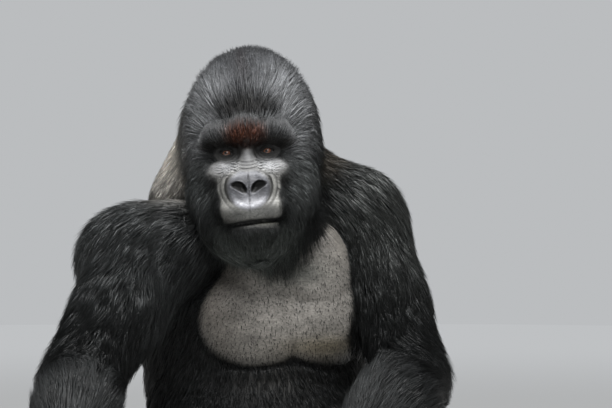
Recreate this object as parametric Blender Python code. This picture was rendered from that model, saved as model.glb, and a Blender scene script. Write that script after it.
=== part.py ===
"""A seated silverback mountain gorilla, life size, as a still museum model. Metres, +Z up.

The face looks along -Y and the animal's left is +X. The origin lies on the floor under the rump. Every solid
reaches out to the tips of the coat. The body is described by a plan of rounded forms (tapered limbs and
ellipsoids), each with the depth of coat that lies over it. A form's place follows the skeleton below.
"""

import math

import bmesh
import bpy
import numpy as np
from mathutils import Euler, Matrix, Vector

# Skeleton, at the joints' centres.
EYE_CENTRE = Vector((-0.025, -0.190, 0.800))
HEAD_TURN = Euler((0.0, math.radians(-3.3), math.radians(0.5)))
SHOULDER = {"left": Vector((0.168, 0.050, 0.669)), "right": Vector((-0.212, -0.072, 0.602))}
ELBOW = {"left": Vector((0.275, -0.160, 0.385)), "right": Vector((-0.322, -0.300, 0.392))}
WRIST = {"left": Vector((0.118, -0.365, 0.172)), "right": Vector((-0.345, -0.500, 0.172))}
HIP = {"left": Vector((0.095, 0.020, 0.125)), "right": Vector((-0.100, 0.030, 0.125))}
KNEE = {"left": Vector((0.378, -0.125, 0.175)), "right": Vector((-0.372, -0.155, 0.175))}
ANKLE = {"left": Vector((0.288, -0.395, 0.080)), "right": Vector((-0.200, -0.400, 0.080))}
TRUNK_CENTRE = Vector((-0.010, 0.030, 0.0))
CHEST_YAW = math.radians(18)
BELLY_YAW = math.radians(10)

# The trunk's slices: height, half width, reach forward and back of the spine, depth of coat.
CHEST_LEVELS = (
    (0.620, 0.135, 0.085, 0.172, 0.010),
    (0.560, 0.165, 0.115, 0.176, 0.010),
    (0.490, 0.185, 0.140, 0.170, 0.010),
    (0.420, 0.195, 0.150, 0.162, 0.010),
)
BELLY_LEVELS = (
    (0.350, 0.200, 0.172, 0.155, 0.012),
    (0.280, 0.202, 0.195, 0.155, 0.012),
    (0.210, 0.196, 0.185, 0.158, 0.014),
    (0.140, 0.186, 0.140, 0.162, 0.014),
    (0.090, 0.165, 0.110, 0.150, 0.012),
)
SLICE_HALF_HEIGHT = 0.115

# The arms: where the deltoid swells, how the upper arm bows, its radii from the top down, and its coat.
DELTOID = {"right": Vector((-0.260, -0.075, 0.600))}
ARM_BOW = {"left": Vector((0.010, 0.0, 0.0)), "right": Vector((0.0, 0.0, 0.0))}
ARM_RADII = {"left": (0.080, 0.056, 0.049), "right": (0.080, 0.064, 0.053)}
ARM_COAT = 0.025

# The face and ears, about the midpoint of the eyes: left, back, up.
RIGHT_SLIM = 0.011
EAR_PLACE = (0.122, 0.080, -0.012)
EAR_TILT = (-12, -24)
NOSTRIL_PLACE = (0.0170, -0.080, -0.060)
NOSTRIL_RADII = (0.0135, 0.012, 0.0068)
NOSTRIL_SLANT = -26
EYE_OPENING_RADII = (0.0115, 0.012, 0.0052)

# Where the trunk is cut: a point and the direction of the upper piece.
ABDOMEN_CUT = (Vector((0.0, 0.0, 0.405)), Vector((0.0, 0.0, 1.0)))
CHEST_CUT = (Vector((0.0, -0.100, 0.628)), Vector((-0.10, -0.50, 0.86)).normalized())
NECK_CUT = (Vector((0.0, -0.140, 0.640)), Vector((0.0, -0.80, 0.60)).normalized())
WRIST_SHARE = 0.93
ANKLE_SHARE = 0.90

# How finely each mesh is wrapped, and the triangles it is thinned to.
VOXELS = {"trunk": 0.0065, "limb": 0.0045, "ear": 0.0022}
TRIANGLES = {"trunk": 1600, "head": 4200, "arm": 440, "hand": 1500, "leg": 440, "foot": 1150, "ear": 240}
FACE_BALL = (EYE_CENTRE + Vector((0, -0.040, -0.045)), 0.105)

# How finely plain shapes are made.
BALL_SEGMENTS = 12
BALL_RINGS = 7
CONE_SEGMENTS = 20

# Sizes that repeat.
EYE_RADIUS = 0.0128
EYE_OFFSET = 0.037
FINGER_PITCH = 0.0275
FINGER_RADIUS = 0.0140
TOE_PITCH = 0.0230
TOE_RADIUS = 0.0128
SEAM = 0.0004
SPARE_WEIGHT = 0.9
SPARE_FACTOR = 0.0001
FLOOR = 0.0
SIDES = {"left": 1.0, "right": -1.0}
REACH = 0.05


def capsule(start, end, start_radius, end_radius, coat=0.0, blend=0.03):
    """A limb-like form with round ends, tapering from one radius to the other. The coat may differ by end."""
    coats = coat if isinstance(coat, tuple) else (coat, coat)
    return {
        "kind": "capsule",
        "start": Vector(start),
        "end": Vector(end),
        "radii": (start_radius + coats[0], end_radius + coats[1]),
        "blend": blend,
    }


def ellipsoid(centre, radii, turn=(0.0, 0.0, 0.0), coat=0.0, blend=0.03, hollow=False):
    """An ellipsoid, turned by degrees about X, Y and Z, with a coat that may differ by axis, or a hollow."""
    coats = coat if isinstance(coat, tuple) else (coat, coat, coat)
    return {
        "kind": "ellipsoid",
        "start": Vector(centre),
        "radii": tuple(radius + depth for radius, depth in zip(radii, coats)),
        "turn": Euler([math.radians(angle) for angle in turn]).to_matrix(),
        "blend": blend,
        "hollow": hollow,
    }


def placed(forms, turn, origin):
    """The forms carried from a local frame to the model's."""
    matrix = turn.to_matrix() if isinstance(turn, Euler) else turn
    for form in forms:
        form["start"] = origin + matrix @ form["start"]
        if form["kind"] == "capsule":
            form["end"] = origin + matrix @ form["end"]
        else:
            form["turn"] = matrix @ form["turn"]
    return forms


def in_trunk(yaw, left, forward, up):
    """A point given by how far left and forward of the spine it is, and its height."""
    side = Vector((math.cos(yaw), math.sin(yaw), 0.0))
    front = Vector((math.sin(yaw), -math.cos(yaw), 0.0))
    return TRUNK_CENTRE + side * left + front * forward + Vector((0.0, 0.0, up))


def slimmed(side):
    """How far the side of the head moves in: the hair lies flatter on the right."""
    return RIGHT_SLIM if side < 0 else 0.0


def head_forms():
    """The head about the midpoint of its eyes, before it's turned: crest, brow, cheeks, muzzle and beard."""
    forms = [
        ellipsoid((0.009, 0.100, 0.066), (0.103, 0.102, 0.095), coat=(0.026, 0.014, 0.020), blend=0.02),
        ellipsoid((0.010, 0.112, 0.112), (0.066, 0.088, 0.062), coat=(0.026, 0.018, 0.020), blend=0.04),
        ellipsoid((0, 0.150, 0.010), (0.095, 0.085, 0.110), coat=0.015, blend=0.04),
    ]
    for side in SIDES.values():
        temple, cheek = 0.050 * side + slimmed(side), 0.065 * side + slimmed(side)
        brow = Vector((0.054 * side, -0.007, 0.033))
        forms += [
            ellipsoid((temple, 0.088, 0.016), (0.058, 0.070, 0.078), coat=(0.026, 0.014, 0.026)),
            ellipsoid((cheek, 0.060, -0.070), (0.048, 0.056, 0.072), coat=(0.031, 0.012, 0.030)),
            ellipsoid((0.038 * side, 0.018, -0.128), (0.045, 0.048, 0.048), coat=(0.030, 0.006, 0.030)),
            ellipsoid((0.050 * side, 0.010, -0.036), (0.032, 0.026, 0.026), blend=0.02),
            capsule((0, -0.012, 0.037), brow, 0.017, 0.015, 0.007),
            capsule(brow, (0.088 * side, 0.032, 0.014), 0.015, 0.013, (0.007, 0.014)),
        ]
    forms += [
        ellipsoid((0.004, -0.005, -0.166), (0.046, 0.045, 0.025), coat=(0.024, 0.010, 0.028), blend=0.02),
        ellipsoid((0, -0.024, -0.078), (0.060, 0.046, 0.058), blend=0.02),
        ellipsoid((0.002, -0.042, -0.102), (0.064, 0.046, 0.030), blend=0.012),
        ellipsoid((0.003, -0.037, -0.147), (0.047, 0.038, 0.023), coat=0.003, blend=0.014),
        capsule((0, -0.002, 0.012), (0, -0.044, -0.044), 0.014, 0.019, blend=0.015),
        ellipsoid((0, -0.062, -0.070), (0.018, 0.018, 0.032), blend=0.012),
    ]
    for side in SIDES.values():
        nostril_wing = (0.022 * side, -0.060, -0.066)
        forms.append(ellipsoid(nostril_wing, (0.021, 0.019, 0.034), (0, 14 * side, 0), blend=0.010))
    for side in SIDES.values():
        ear_hollow = (0.152 * side + slimmed(side), 0.076, -0.012)
        forms += [
            ellipsoid(ear_hollow, (0.026, 0.020, 0.031), blend=0.012, hollow=True),
            ellipsoid((EYE_OFFSET * side, -0.031, 0.000), (0.024, 0.016, 0.013), blend=0.010, hollow=True),
        ]
    return placed(forms, HEAD_TURN, EYE_CENTRE)


def neck_forms():
    """The thick nape that runs from the crest down to the hump of the back."""
    return [
        capsule((-0.020, -0.050, 0.830), (-0.018, 0.075, 0.690), 0.105, 0.135, coat=0.014, blend=0.05),
        capsule((-0.020, -0.105, 0.700), (0.012, -0.060, 0.590), 0.070, 0.090, coat=0.006, blend=0.04),
        capsule((-0.070, 0.050, 0.835), (-0.130, 0.020, 0.700), 0.061, 0.074, coat=0.012, blend=0.04),
        capsule((-0.010, 0.010, 0.775), (0.108, 0.065, 0.706), 0.072, 0.072, coat=0.014, blend=0.04),
    ]


def barrel_forms(levels, blend):
    """Rounded slices of the trunk from a table of height, half width, reach forward and back, and coat."""
    forms = []
    for height, half_width, ahead, behind, coat in levels:
        yaw = BELLY_YAW + (CHEST_YAW - BELLY_YAW) * min(max((height - 0.20) / 0.30, 0.0), 1.0)
        centre = in_trunk(yaw, 0, (ahead - behind) / 2, height)
        radii = (half_width, (ahead + behind) / 2, SLICE_HALF_HEIGHT)
        coats = (coat, coat * 0.6, coat)
        forms.append(ellipsoid(centre, radii, (0, 0, math.degrees(yaw)), coats, blend))
    return forms


def chest_forms():
    """The upper trunk, with the great bare pad of the chest and the flesh behind the arms."""
    yaw = CHEST_YAW
    turn = (0, 0, math.degrees(yaw))
    forms = barrel_forms(CHEST_LEVELS, 0.04)
    forms.append(ellipsoid(in_trunk(yaw, 0, -0.080, 0.655), (0.150, 0.100, 0.120), turn, 0.012, 0.06))
    for side in SIDES.values():
        forms += [
            ellipsoid(in_trunk(yaw, 0.115 * side, -0.060, 0.500), (0.090, 0.100, 0.150), turn, 0.012, 0.06),
            ellipsoid(in_trunk(yaw, 0.018 + 0.060 * side, 0.122, 0.490), (0.098, 0.068, 0.088), turn, 0, 0.05),
        ]
    forms.append(ellipsoid((0.090, -0.085, 0.590), (0.070, 0.060, 0.085), blend=0.06))
    return forms


def belly_forms():
    return barrel_forms(BELLY_LEVELS, 0.04)


def trunk_forms():
    return chest_forms() + belly_forms() + neck_forms() + head_forms()


def hand_forms(wrist, heading, thumb_side):
    """A hand set down on its knuckles: heading is where the fingers point, thumb_side is +1 or -1."""
    ahead = Vector(heading).normalized()
    across = Vector((-ahead.y, ahead.x, 0.0)) * thumb_side
    forms = []
    for row, length in enumerate((0.94, 1.04, 1.0, 0.86)):
        offset = across * FINGER_PITCH * (1.5 - row)
        root = wrist + offset * 0.45 + Vector((0, 0, -0.012))
        knuckle = wrist + offset * 0.95 + ahead * 0.024 * length + Vector((0, 0, 0.083 - wrist.z))
        bend = knuckle + ahead * 0.044 * length + offset * 0.05 + Vector((0, 0, 0.021 - knuckle.z))
        tuck = bend - ahead * 0.036 * length + Vector((0, 0, 0.0125 - bend.z))
        tip = tuck - ahead * 0.014 + Vector((0, 0, 0.028))
        forms += [
            capsule(root, knuckle, 0.026, 0.0185, coat=0.004, blend=0.015),
            capsule(knuckle, bend, 0.0172, 0.0158, blend=0.005),
            capsule(bend, tuck, 0.0158, FINGER_RADIUS, blend=0.003),
            capsule(tuck, tip, FINGER_RADIUS, 0.0115, blend=0.003),
        ]
    thumb_root = wrist + across * 0.040 + ahead * 0.002 + Vector((0, 0, -0.030))
    thumb_knuckle = thumb_root + across * 0.016 + ahead * 0.010 + Vector((0, 0, -0.038))
    thumb_tip = thumb_knuckle + ahead * 0.012 + Vector((0, 0, -0.036))
    forms += [
        capsule(thumb_root, thumb_knuckle, 0.020, 0.0150, coat=0.002, blend=0.012),
        capsule(thumb_knuckle, thumb_tip, 0.0140, 0.0112, blend=0.004),
    ]
    return forms


def arm_forms(name):
    side = SIDES[name]
    shoulder, elbow, wrist = SHOULDER[name], ELBOW[name], WRIST[name]
    inward = Vector((-side, 0.15 * side, 0.35)).normalized()
    middle = shoulder.lerp(elbow, 0.5) + ARM_BOW[name]
    top, mid, low = ARM_RADII[name]
    bulge, taper = elbow.lerp(wrist, 0.24), elbow.lerp(wrist, 0.62)
    heading = Vector((-0.10, -1.0, 0.0)) if name == "left" else Vector((-0.06, -1.0, 0.0))
    forms = [
        capsule(shoulder + inward * 0.060, shoulder, 0.070, 0.080, coat=0.022, blend=0.04),
        capsule(shoulder, middle, top, mid, coat=ARM_COAT, blend=0.04),
        capsule(middle, elbow, mid, low, coat=ARM_COAT, blend=0.03),
        capsule(elbow, bulge, 0.052, 0.059, coat=ARM_COAT, blend=0.03),
        capsule(bulge, taper, 0.059, 0.047, coat=ARM_COAT, blend=0.03),
        capsule(taper, wrist, 0.047, 0.036, (ARM_COAT, 0.006), blend=0.03),
    ]
    if name in DELTOID:
        forms.append(ellipsoid(DELTOID[name], (0.070, 0.075, 0.072), coat=ARM_COAT, blend=0.04))
    return forms + hand_forms(wrist, heading, -side)


def foot_forms(ankle, heading, big_toe_side):
    """A grasping foot flat on the floor, with its big toe set apart."""
    ahead = Vector(heading).normalized()
    across = Vector((-ahead.y, ahead.x, 0.0)) * big_toe_side
    ground = Vector((ankle.x, ankle.y, 0.0))
    heel = ground - ahead * 0.046 + Vector((0, 0, 0.034))
    ball = ground + ahead * 0.122 + Vector((0, 0, 0.027))
    forms = [
        capsule(ankle, heel, 0.035, 0.037, coat=0.004, blend=0.025),
        capsule(heel, ball, 0.037, 0.029, coat=0.002, blend=0.02),
        capsule(ankle, ball, 0.036, 0.026, coat=0.004, blend=0.025),
    ]
    for row, length in enumerate((0.92, 1.0, 0.94, 0.80)):
        offset = across * TOE_PITCH * (1.1 - row)
        root = ground + offset * 0.75 + ahead * 0.100 + Vector((0, 0, 0.029))
        joint = ground + offset + ahead * (0.132 + 0.026 * length) + Vector((0, 0, 0.025))
        tip = joint + ahead * 0.038 * length + Vector((0, 0, 0.0118 - joint.z))
        forms += [
            capsule(root, joint, 0.0195, 0.0150, coat=0.002, blend=0.010),
            capsule(joint, tip, 0.0145, TOE_RADIUS, blend=0.003),
        ]
    toe_root = ground + across * 0.018 + ahead * 0.030 + Vector((0, 0, 0.030))
    toe_joint = ground + across * 0.060 + ahead * 0.078 + Vector((0, 0, 0.024))
    toe_tip = ground + across * 0.070 + ahead * 0.124 + Vector((0, 0, 0.0150))
    forms += [
        capsule(toe_root, toe_joint, 0.029, 0.021, coat=0.001, blend=0.015),
        capsule(toe_joint, toe_tip, 0.019, 0.0160, blend=0.006),
    ]
    return forms


def leg_forms(name):
    side = SIDES[name]
    hip, knee, ankle = HIP[name], KNEE[name], ANKLE[name]
    calf = knee.lerp(ankle, 0.32)
    heading = Vector((0.26, -1.0, 0.0)) if name == "left" else Vector((0.02, -1.0, 0.0))
    forms = [
        capsule(hip, hip.lerp(knee, 0.55), 0.100, 0.086, coat=0.018, blend=0.04),
        capsule(hip.lerp(knee, 0.55), knee, 0.086, 0.062, coat=0.020, blend=0.04),
        capsule(knee, calf, 0.060, 0.055, coat=0.018, blend=0.03),
        capsule(calf, ankle, 0.054, 0.036, coat=0.013, blend=0.03),
    ]
    return forms + foot_forms(ankle, heading, -side)


def distance(form, points):
    """Signed distance from points to one form, exact enough near its surface."""
    if form["kind"] == "capsule":
        start, end = np.array(form["start"]), np.array(form["end"])
        axis = end - start
        share = np.clip(((points - start) @ axis) / max(axis @ axis, 1e-12), 0, 1)[:, None]
        radius = form["radii"][0] + (form["radii"][1] - form["radii"][0]) * share[:, 0]
        return np.linalg.norm(points - start - share * axis, axis=1) - radius
    radii = np.array(form["radii"])
    local = (points - np.array(form["start"])) @ np.array(form["turn"])
    scaled = np.linalg.norm(local / radii, axis=1)
    steep = np.linalg.norm(local / radii**2, axis=1)
    return scaled * (scaled - 1.0) / np.maximum(steep, 1e-9)


def blended(first, second, width):
    """The smaller of two distances, rounded where they meet."""
    share = np.maximum(width - np.abs(first - second), 0) / width
    return np.minimum(first, second) - share * share * width * 0.25


def bounding(form):
    """Centre and radius of a sphere round the form."""
    if form["kind"] == "capsule":
        centre = (form["start"] + form["end"]) / 2
        return np.array(centre), (form["end"] - form["start"]).length / 2 + max(form["radii"])
    return np.array(form["start"]), max(form["radii"])


def field(forms, points):
    """Signed distance to the blended body: negative inside."""
    total = np.full(len(points), REACH)
    for form in forms:
        centre, radius = bounding(form)
        near = np.linalg.norm(points - centre, axis=1) < radius + REACH
        found = distance(form, points[near])
        if form.get("hollow"):
            total[near] = -blended(-total[near], found, form["blend"])
        else:
            total[near] = blended(total[near], found, form["blend"])
    return total


def slope(forms, points, step=0.0006):
    """Outward unit direction of the field, by four probes at the corners of a tetrahedron."""
    corners = np.array([(1, -1, -1), (-1, -1, 1), (-1, 1, -1), (1, 1, 1)], float)
    found = sum(corner * field(forms, points + corner * step)[:, None] for corner in corners)
    return found / np.maximum(np.linalg.norm(found, axis=1), 1e-9)[:, None]


def add_form(mesh, form):
    """One form as closed shells in the bmesh: a ball at each end and a cone between them, or an ellipsoid."""
    if form["kind"] == "ellipsoid":
        size = Matrix.Diagonal((*form["radii"], 1.0))
        matrix = Matrix.Translation(form["start"]) @ form["turn"].to_4x4() @ size
        bmesh.ops.create_icosphere(mesh, subdivisions=3, radius=1.0, matrix=matrix)
        return
    for centre, radius in zip((form["start"], form["end"]), form["radii"]):
        bmesh.ops.create_icosphere(mesh, subdivisions=3, radius=radius, matrix=Matrix.Translation(centre))
    axis = form["end"] - form["start"]
    turn = Vector((0, 0, 1)).rotation_difference(axis).to_matrix().to_4x4()
    bmesh.ops.create_cone(
        mesh,
        cap_ends=True,
        segments=CONE_SEGMENTS,
        radius1=form["radii"][0],
        radius2=form["radii"][1],
        depth=axis.length,
        matrix=Matrix.Translation((form["start"] + form["end"]) / 2) @ turn,
    )


def object_of(name, mesh_data, material=None):
    made = bpy.data.objects.new(name, mesh_data)
    bpy.context.scene.collection.objects.link(made)
    if material:
        mesh_data.materials.append(material)
    return made


def evaluated(obj, name):
    """A new mesh of the object with its modifiers applied."""
    bpy.context.view_layer.update()
    graph = bpy.context.evaluated_depsgraph_get()
    mesh = bpy.data.meshes.new_from_object(obj.evaluated_get(graph))
    mesh.name = name
    return mesh


def drop(obj):
    mesh = obj.data
    bpy.data.objects.remove(obj)
    bpy.data.meshes.remove(mesh)


def settle(mesh, forms, rounds=4):
    """Moves each vertex onto the blended surface."""
    points = np.empty(len(mesh.vertices) * 3, np.float32)
    mesh.vertices.foreach_get("co", points)
    points = points.reshape(-1, 3).astype(float)
    for _ in range(rounds):
        points -= slope(forms, points) * (field(forms, points) * 0.9)[:, None]
    mesh.vertices.foreach_set("co", points.astype(np.float32).ravel())
    mesh.update()


def body_mesh(name, forms, voxel):
    """One closed skin over the forms: hulls joined by a voxel remesh, then drawn onto the surface."""
    mesh = bmesh.new()
    for form in forms:
        if not form.get("hollow"):
            add_form(mesh, form)
    data = bpy.data.meshes.new(name)
    mesh.to_mesh(data)
    mesh.free()
    rough = object_of(name + "_rough", data)
    remesh = rough.modifiers.new("skin", "REMESH")
    remesh.mode = "VOXEL"
    remesh.voxel_size = voxel
    skin = evaluated(rough, name)
    drop(rough)
    settle(skin, forms)
    return skin


def thinned(mesh, triangles, spared=()):
    """A copy with about that many triangles, more of them kept inside the spared balls (centre, radius)."""
    helper = object_of(mesh.name + "_thin", mesh.copy())
    reduce = helper.modifiers.new("fewer", "DECIMATE")
    reduce.ratio = min(1.0, triangles / (2.0 * len(mesh.polygons)))
    if spared:
        group = helper.vertex_groups.new(name="spared")
        for vert in helper.data.vertices:
            outside = min(max((vert.co - centre).length - radius, 0.0) / radius for centre, radius in spared)
            group.add([vert.index], max(1.0 - outside, 0.0) * SPARE_WEIGHT, "REPLACE")
        reduce.vertex_group = group.name
        reduce.invert_vertex_group = True
        reduce.vertex_group_factor = SPARE_FACTOR
    fewer = evaluated(helper, mesh.name)
    drop(helper)
    return fewer


def cut(mesh, point, normal):
    """Keeps the side of the plane that its normal points to, and closes the cut with a flat face."""
    work = bmesh.new()
    work.from_mesh(mesh)
    everything = work.verts[:] + work.edges[:] + work.faces[:]
    made = bmesh.ops.bisect_plane(
        work, geom=everything, dist=1e-7, plane_co=point, plane_no=normal, clear_inner=True
    )
    rim = [item for item in made["geom_cut"] if isinstance(item, bmesh.types.BMEdge)]
    bmesh.ops.holes_fill(work, edges=[edge for edge in rim if edge.is_boundary], sides=0)
    bmesh.ops.triangulate(work, faces=[face for face in work.faces if len(face.verts) > 4])
    bmesh.ops.recalc_face_normals(work, faces=work.faces)
    work.to_mesh(mesh)
    work.free()
    return mesh


def largest_piece(mesh):
    """Drops loose scraps and keeps the piece with the most faces."""
    work = bmesh.new()
    work.from_mesh(mesh)
    left, pieces = set(work.verts), []
    while left:
        piece, front = set(), [left.pop()]
        while front:
            vert = front.pop()
            piece.add(vert)
            for edge in vert.link_edges:
                other = edge.other_vert(vert)
                if other in left:
                    left.discard(other)
                    front.append(other)
        pieces.append(piece)
    pieces.sort(key=len, reverse=True)
    bmesh.ops.delete(work, geom=[vert for piece in pieces[1:] for vert in piece], context="VERTS")
    work.to_mesh(mesh)
    work.free()
    return mesh


def grown(mesh, by):
    """A copy pushed out along its normals."""
    copy = mesh.copy()
    for vert, normal in zip(copy.vertices, [v.normal.copy() for v in mesh.vertices]):
        vert.co += normal * by
    return copy


def taken_from(mesh, cutter_mesh, name):
    """The mesh less the cutter, by an exact Boolean."""
    target = object_of(name + "_whole", mesh)
    cutter = object_of(name + "_cutter", cutter_mesh)
    cutter.hide_render = True
    cutter.display_type = "WIRE"
    boolean = target.modifiers.new("part", "BOOLEAN")
    boolean.operation = "DIFFERENCE"
    boolean.solver = "EXACT"
    boolean.object = cutter
    left = evaluated(target, name)
    drop(target)
    drop(cutter)
    return largest_piece(left)


def material(name, colour, roughness):
    made = bpy.data.materials.new(name)
    made.use_nodes = True
    shader = made.node_tree.nodes["Principled BSDF"]
    shader.inputs["Base Color"].default_value = (*colour, 1.0)
    shader.inputs["Roughness"].default_value = roughness
    shader.inputs["Metallic"].default_value = 0.0
    return made


def add_node(name, mesh, finish):
    mesh.name = name
    mesh.materials.clear()
    node = object_of(name, mesh, finish)
    mesh.shade_smooth()
    mesh.set_sharp_from_angle(angle=math.radians(50))
    return node


def between(start, end, share):
    """A cut plane across a limb: a point and the unit direction from start to end."""
    return start.lerp(end, share), (end - start).normalized()


def split(mesh, planes):
    """Cuts meshes by planes in order along them and returns the lengths between, clear of each other."""
    pieces = []
    for index in range(len(planes) + 1):
        piece = mesh[index].copy()
        if index > 0:
            point, normal = planes[index - 1]
            cut(piece, point + normal * SEAM / 2, normal)
        if index < len(planes):
            point, normal = planes[index]
            cut(piece, point - normal * SEAM / 2, -normal)
        pieces.append(largest_piece(piece))
    return pieces


def floored(mesh):
    """Flat where it meets the floor."""
    return cut(mesh, Vector((0, 0, FLOOR)), Vector((0, 0, 1)))


def ball_mesh(centre, radii, turn):
    """A ball or stretched ball, as a mesh."""
    work = bmesh.new()
    matrix = Matrix.Translation(centre) @ turn.to_4x4() @ Matrix.Diagonal((*radii, 1.0))
    count = {"u_segments": BALL_SEGMENTS, "v_segments": BALL_RINGS}
    bmesh.ops.create_uvsphere(work, radius=1.0, matrix=matrix, **count)
    data = bpy.data.meshes.new("ball")
    work.to_mesh(data)
    work.free()
    return data


def eye_place(side, forward=0.0):
    return EYE_CENTRE + HEAD_TURN.to_matrix() @ Vector((EYE_OFFSET * side, -forward, 0.0))


def in_head(side, place):
    left, back, up = place
    return EYE_CENTRE + HEAD_TURN.to_matrix() @ Vector((left * side, back, up))


def with_openings(head, finish):
    """Sets each eye in the head behind an almond opening between the lids, and opens the nostrils."""
    turn = HEAD_TURN.to_matrix()
    for name, side in SIDES.items():
        ball = ball_mesh(eye_place(side), (EYE_RADIUS,) * 3, turn)
        socket = ball_mesh(eye_place(side), (EYE_RADIUS + SEAM,) * 3, turn)
        opening = ball_mesh(eye_place(side, EYE_RADIUS), EYE_OPENING_RADII, turn)
        slant = turn @ Euler((0.0, math.radians(NOSTRIL_SLANT * side), 0.0)).to_matrix()
        nostril = ball_mesh(in_head(side, NOSTRIL_PLACE), NOSTRIL_RADII, slant)
        for cutter in (socket, opening, nostril):
            head = taken_from(head, cutter, "head")
        add_node("eye_" + name, ball, finish)
    return head


def ear_mesh(side):
    """A small flat ear: a tilted disc with a raised rim and a hollow in its middle."""
    forms = [
        ellipsoid((0.0, 0.0, 0.0), (0.008, 0.017, 0.026), blend=0.004),
        ellipsoid((0.004, 0.006, 0.004), (0.008, 0.016, 0.026), blend=0.004),
        ellipsoid((0.013, -0.003, -0.001), (0.009, 0.010, 0.016), blend=0.005, hollow=True),
    ]
    mirror = Matrix.Diagonal((side, 1.0, 1.0))
    back_tilt, side_tilt = EAR_TILT
    tilt = Euler((math.radians(back_tilt), 0.0, math.radians(side_tilt * side))).to_matrix()
    for form in forms:
        form["start"] = mirror @ form["start"]
    place = in_head(side, EAR_PLACE) + HEAD_TURN.to_matrix() @ Vector((slimmed(side), 0.0, 0.0))
    return body_mesh("ear", placed(forms, HEAD_TURN.to_matrix() @ tilt, place), VOXELS["ear"])


def build_trunk():
    """Head, neck, chest and abdomen, cut from one mesh."""
    forms = trunk_forms()
    fine = body_mesh("axis", forms, VOXELS["trunk"])
    coarse = floored(thinned(fine, TRIANGLES["trunk"]))
    head_detail = thinned(fine, TRIANGLES["head"], [FACE_BALL])
    planes = [ABDOMEN_CUT, CHEST_CUT, NECK_CUT]
    abdomen, chest, neck, head = split([coarse, coarse, coarse, head_detail], planes)
    return {"abdomen": abdomen, "chest": chest, "neck": neck, "head": head}, coarse


def bend_plane(start, joint, end):
    """A cut through a joint, square to the mean of the two bones' directions."""
    return joint, ((joint - start).normalized() + (end - joint).normalized()).normalized()


def build_arm(name, clear, head, fur, bare):
    """Upper arm, forearm and hand, kept clear of the trunk and the head."""
    fine = body_mesh("arm", arm_forms(name), VOXELS["limb"])
    coarse = taken_from(thinned(fine, TRIANGLES["arm"]), clear.copy(), "arm")
    coarse = taken_from(coarse, grown(head, SEAM), "arm")
    detail = floored(thinned(fine, TRIANGLES["hand"]))
    planes = [
        bend_plane(SHOULDER[name], ELBOW[name], WRIST[name]),
        between(ELBOW[name], WRIST[name], WRIST_SHARE),
    ]
    upper, lower, hand = split([coarse, coarse, detail], planes)
    add_node("upper_arm_" + name, upper, fur)
    add_node("forearm_" + name, lower, fur)
    add_node("hand_" + name, hand, bare)


def build_leg(name, clear, fur, bare):
    """Thigh, shank and foot, kept clear of the trunk and flat on the floor."""
    fine = body_mesh("leg", leg_forms(name), VOXELS["limb"])
    coarse = taken_from(thinned(fine, TRIANGLES["leg"]), clear.copy(), "leg")
    detail = floored(thinned(fine, TRIANGLES["foot"]))
    planes = [
        bend_plane(HIP[name], KNEE[name], ANKLE[name]),
        between(KNEE[name], ANKLE[name], ANKLE_SHARE),
    ]
    thigh, shank, foot = split([coarse, coarse, detail], planes)
    add_node("thigh_" + name, floored(thigh), fur)
    add_node("shank_" + name, floored(shank), fur)
    add_node("foot_" + name, foot, bare)


def main():
    for obj in list(bpy.data.objects):
        bpy.data.objects.remove(obj)
    fur = material("black_fur", (0.028, 0.028, 0.030), 0.75)
    saddle = material("silver_fur", (0.16, 0.155, 0.15), 0.75)
    bare = material("bare_skin", (0.050, 0.046, 0.045), 0.45)
    eye = material("eye", (0.060, 0.022, 0.008), 0.08)

    trunk, whole = build_trunk()
    head = with_openings(trunk["head"], eye)
    trunk["head"] = head
    for name, side in SIDES.items():
        ear = thinned(ear_mesh(side), TRIANGLES["ear"])
        add_node("ear_" + name, taken_from(ear, grown(head, SEAM), "ear_" + name), bare)
    for name, mesh in trunk.items():
        add_node(name, mesh, saddle if name == "neck" else fur)

    clear = grown(whole, SEAM)
    for name in SIDES:
        build_arm(name, clear, head, fur, bare)
        build_leg(name, clear, fur, bare)


main()
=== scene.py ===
import math

import bmesh
import bpy
import numpy as np
from mathutils import Euler, Matrix, Vector
from mathutils.kdtree import KDTree


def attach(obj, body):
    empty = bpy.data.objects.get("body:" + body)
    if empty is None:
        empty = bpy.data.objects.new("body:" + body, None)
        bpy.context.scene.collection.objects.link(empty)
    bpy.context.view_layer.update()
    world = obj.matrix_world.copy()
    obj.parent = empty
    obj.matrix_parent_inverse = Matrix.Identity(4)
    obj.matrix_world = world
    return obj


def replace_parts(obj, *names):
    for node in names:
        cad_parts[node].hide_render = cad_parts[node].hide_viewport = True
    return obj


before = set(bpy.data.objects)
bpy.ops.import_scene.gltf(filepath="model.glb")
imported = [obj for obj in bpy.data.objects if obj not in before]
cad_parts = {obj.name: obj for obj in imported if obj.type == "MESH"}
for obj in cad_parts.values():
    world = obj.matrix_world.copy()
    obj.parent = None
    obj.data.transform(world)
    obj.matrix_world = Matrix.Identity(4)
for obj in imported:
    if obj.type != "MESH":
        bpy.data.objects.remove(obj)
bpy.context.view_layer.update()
rng = np.random.default_rng(7)

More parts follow.
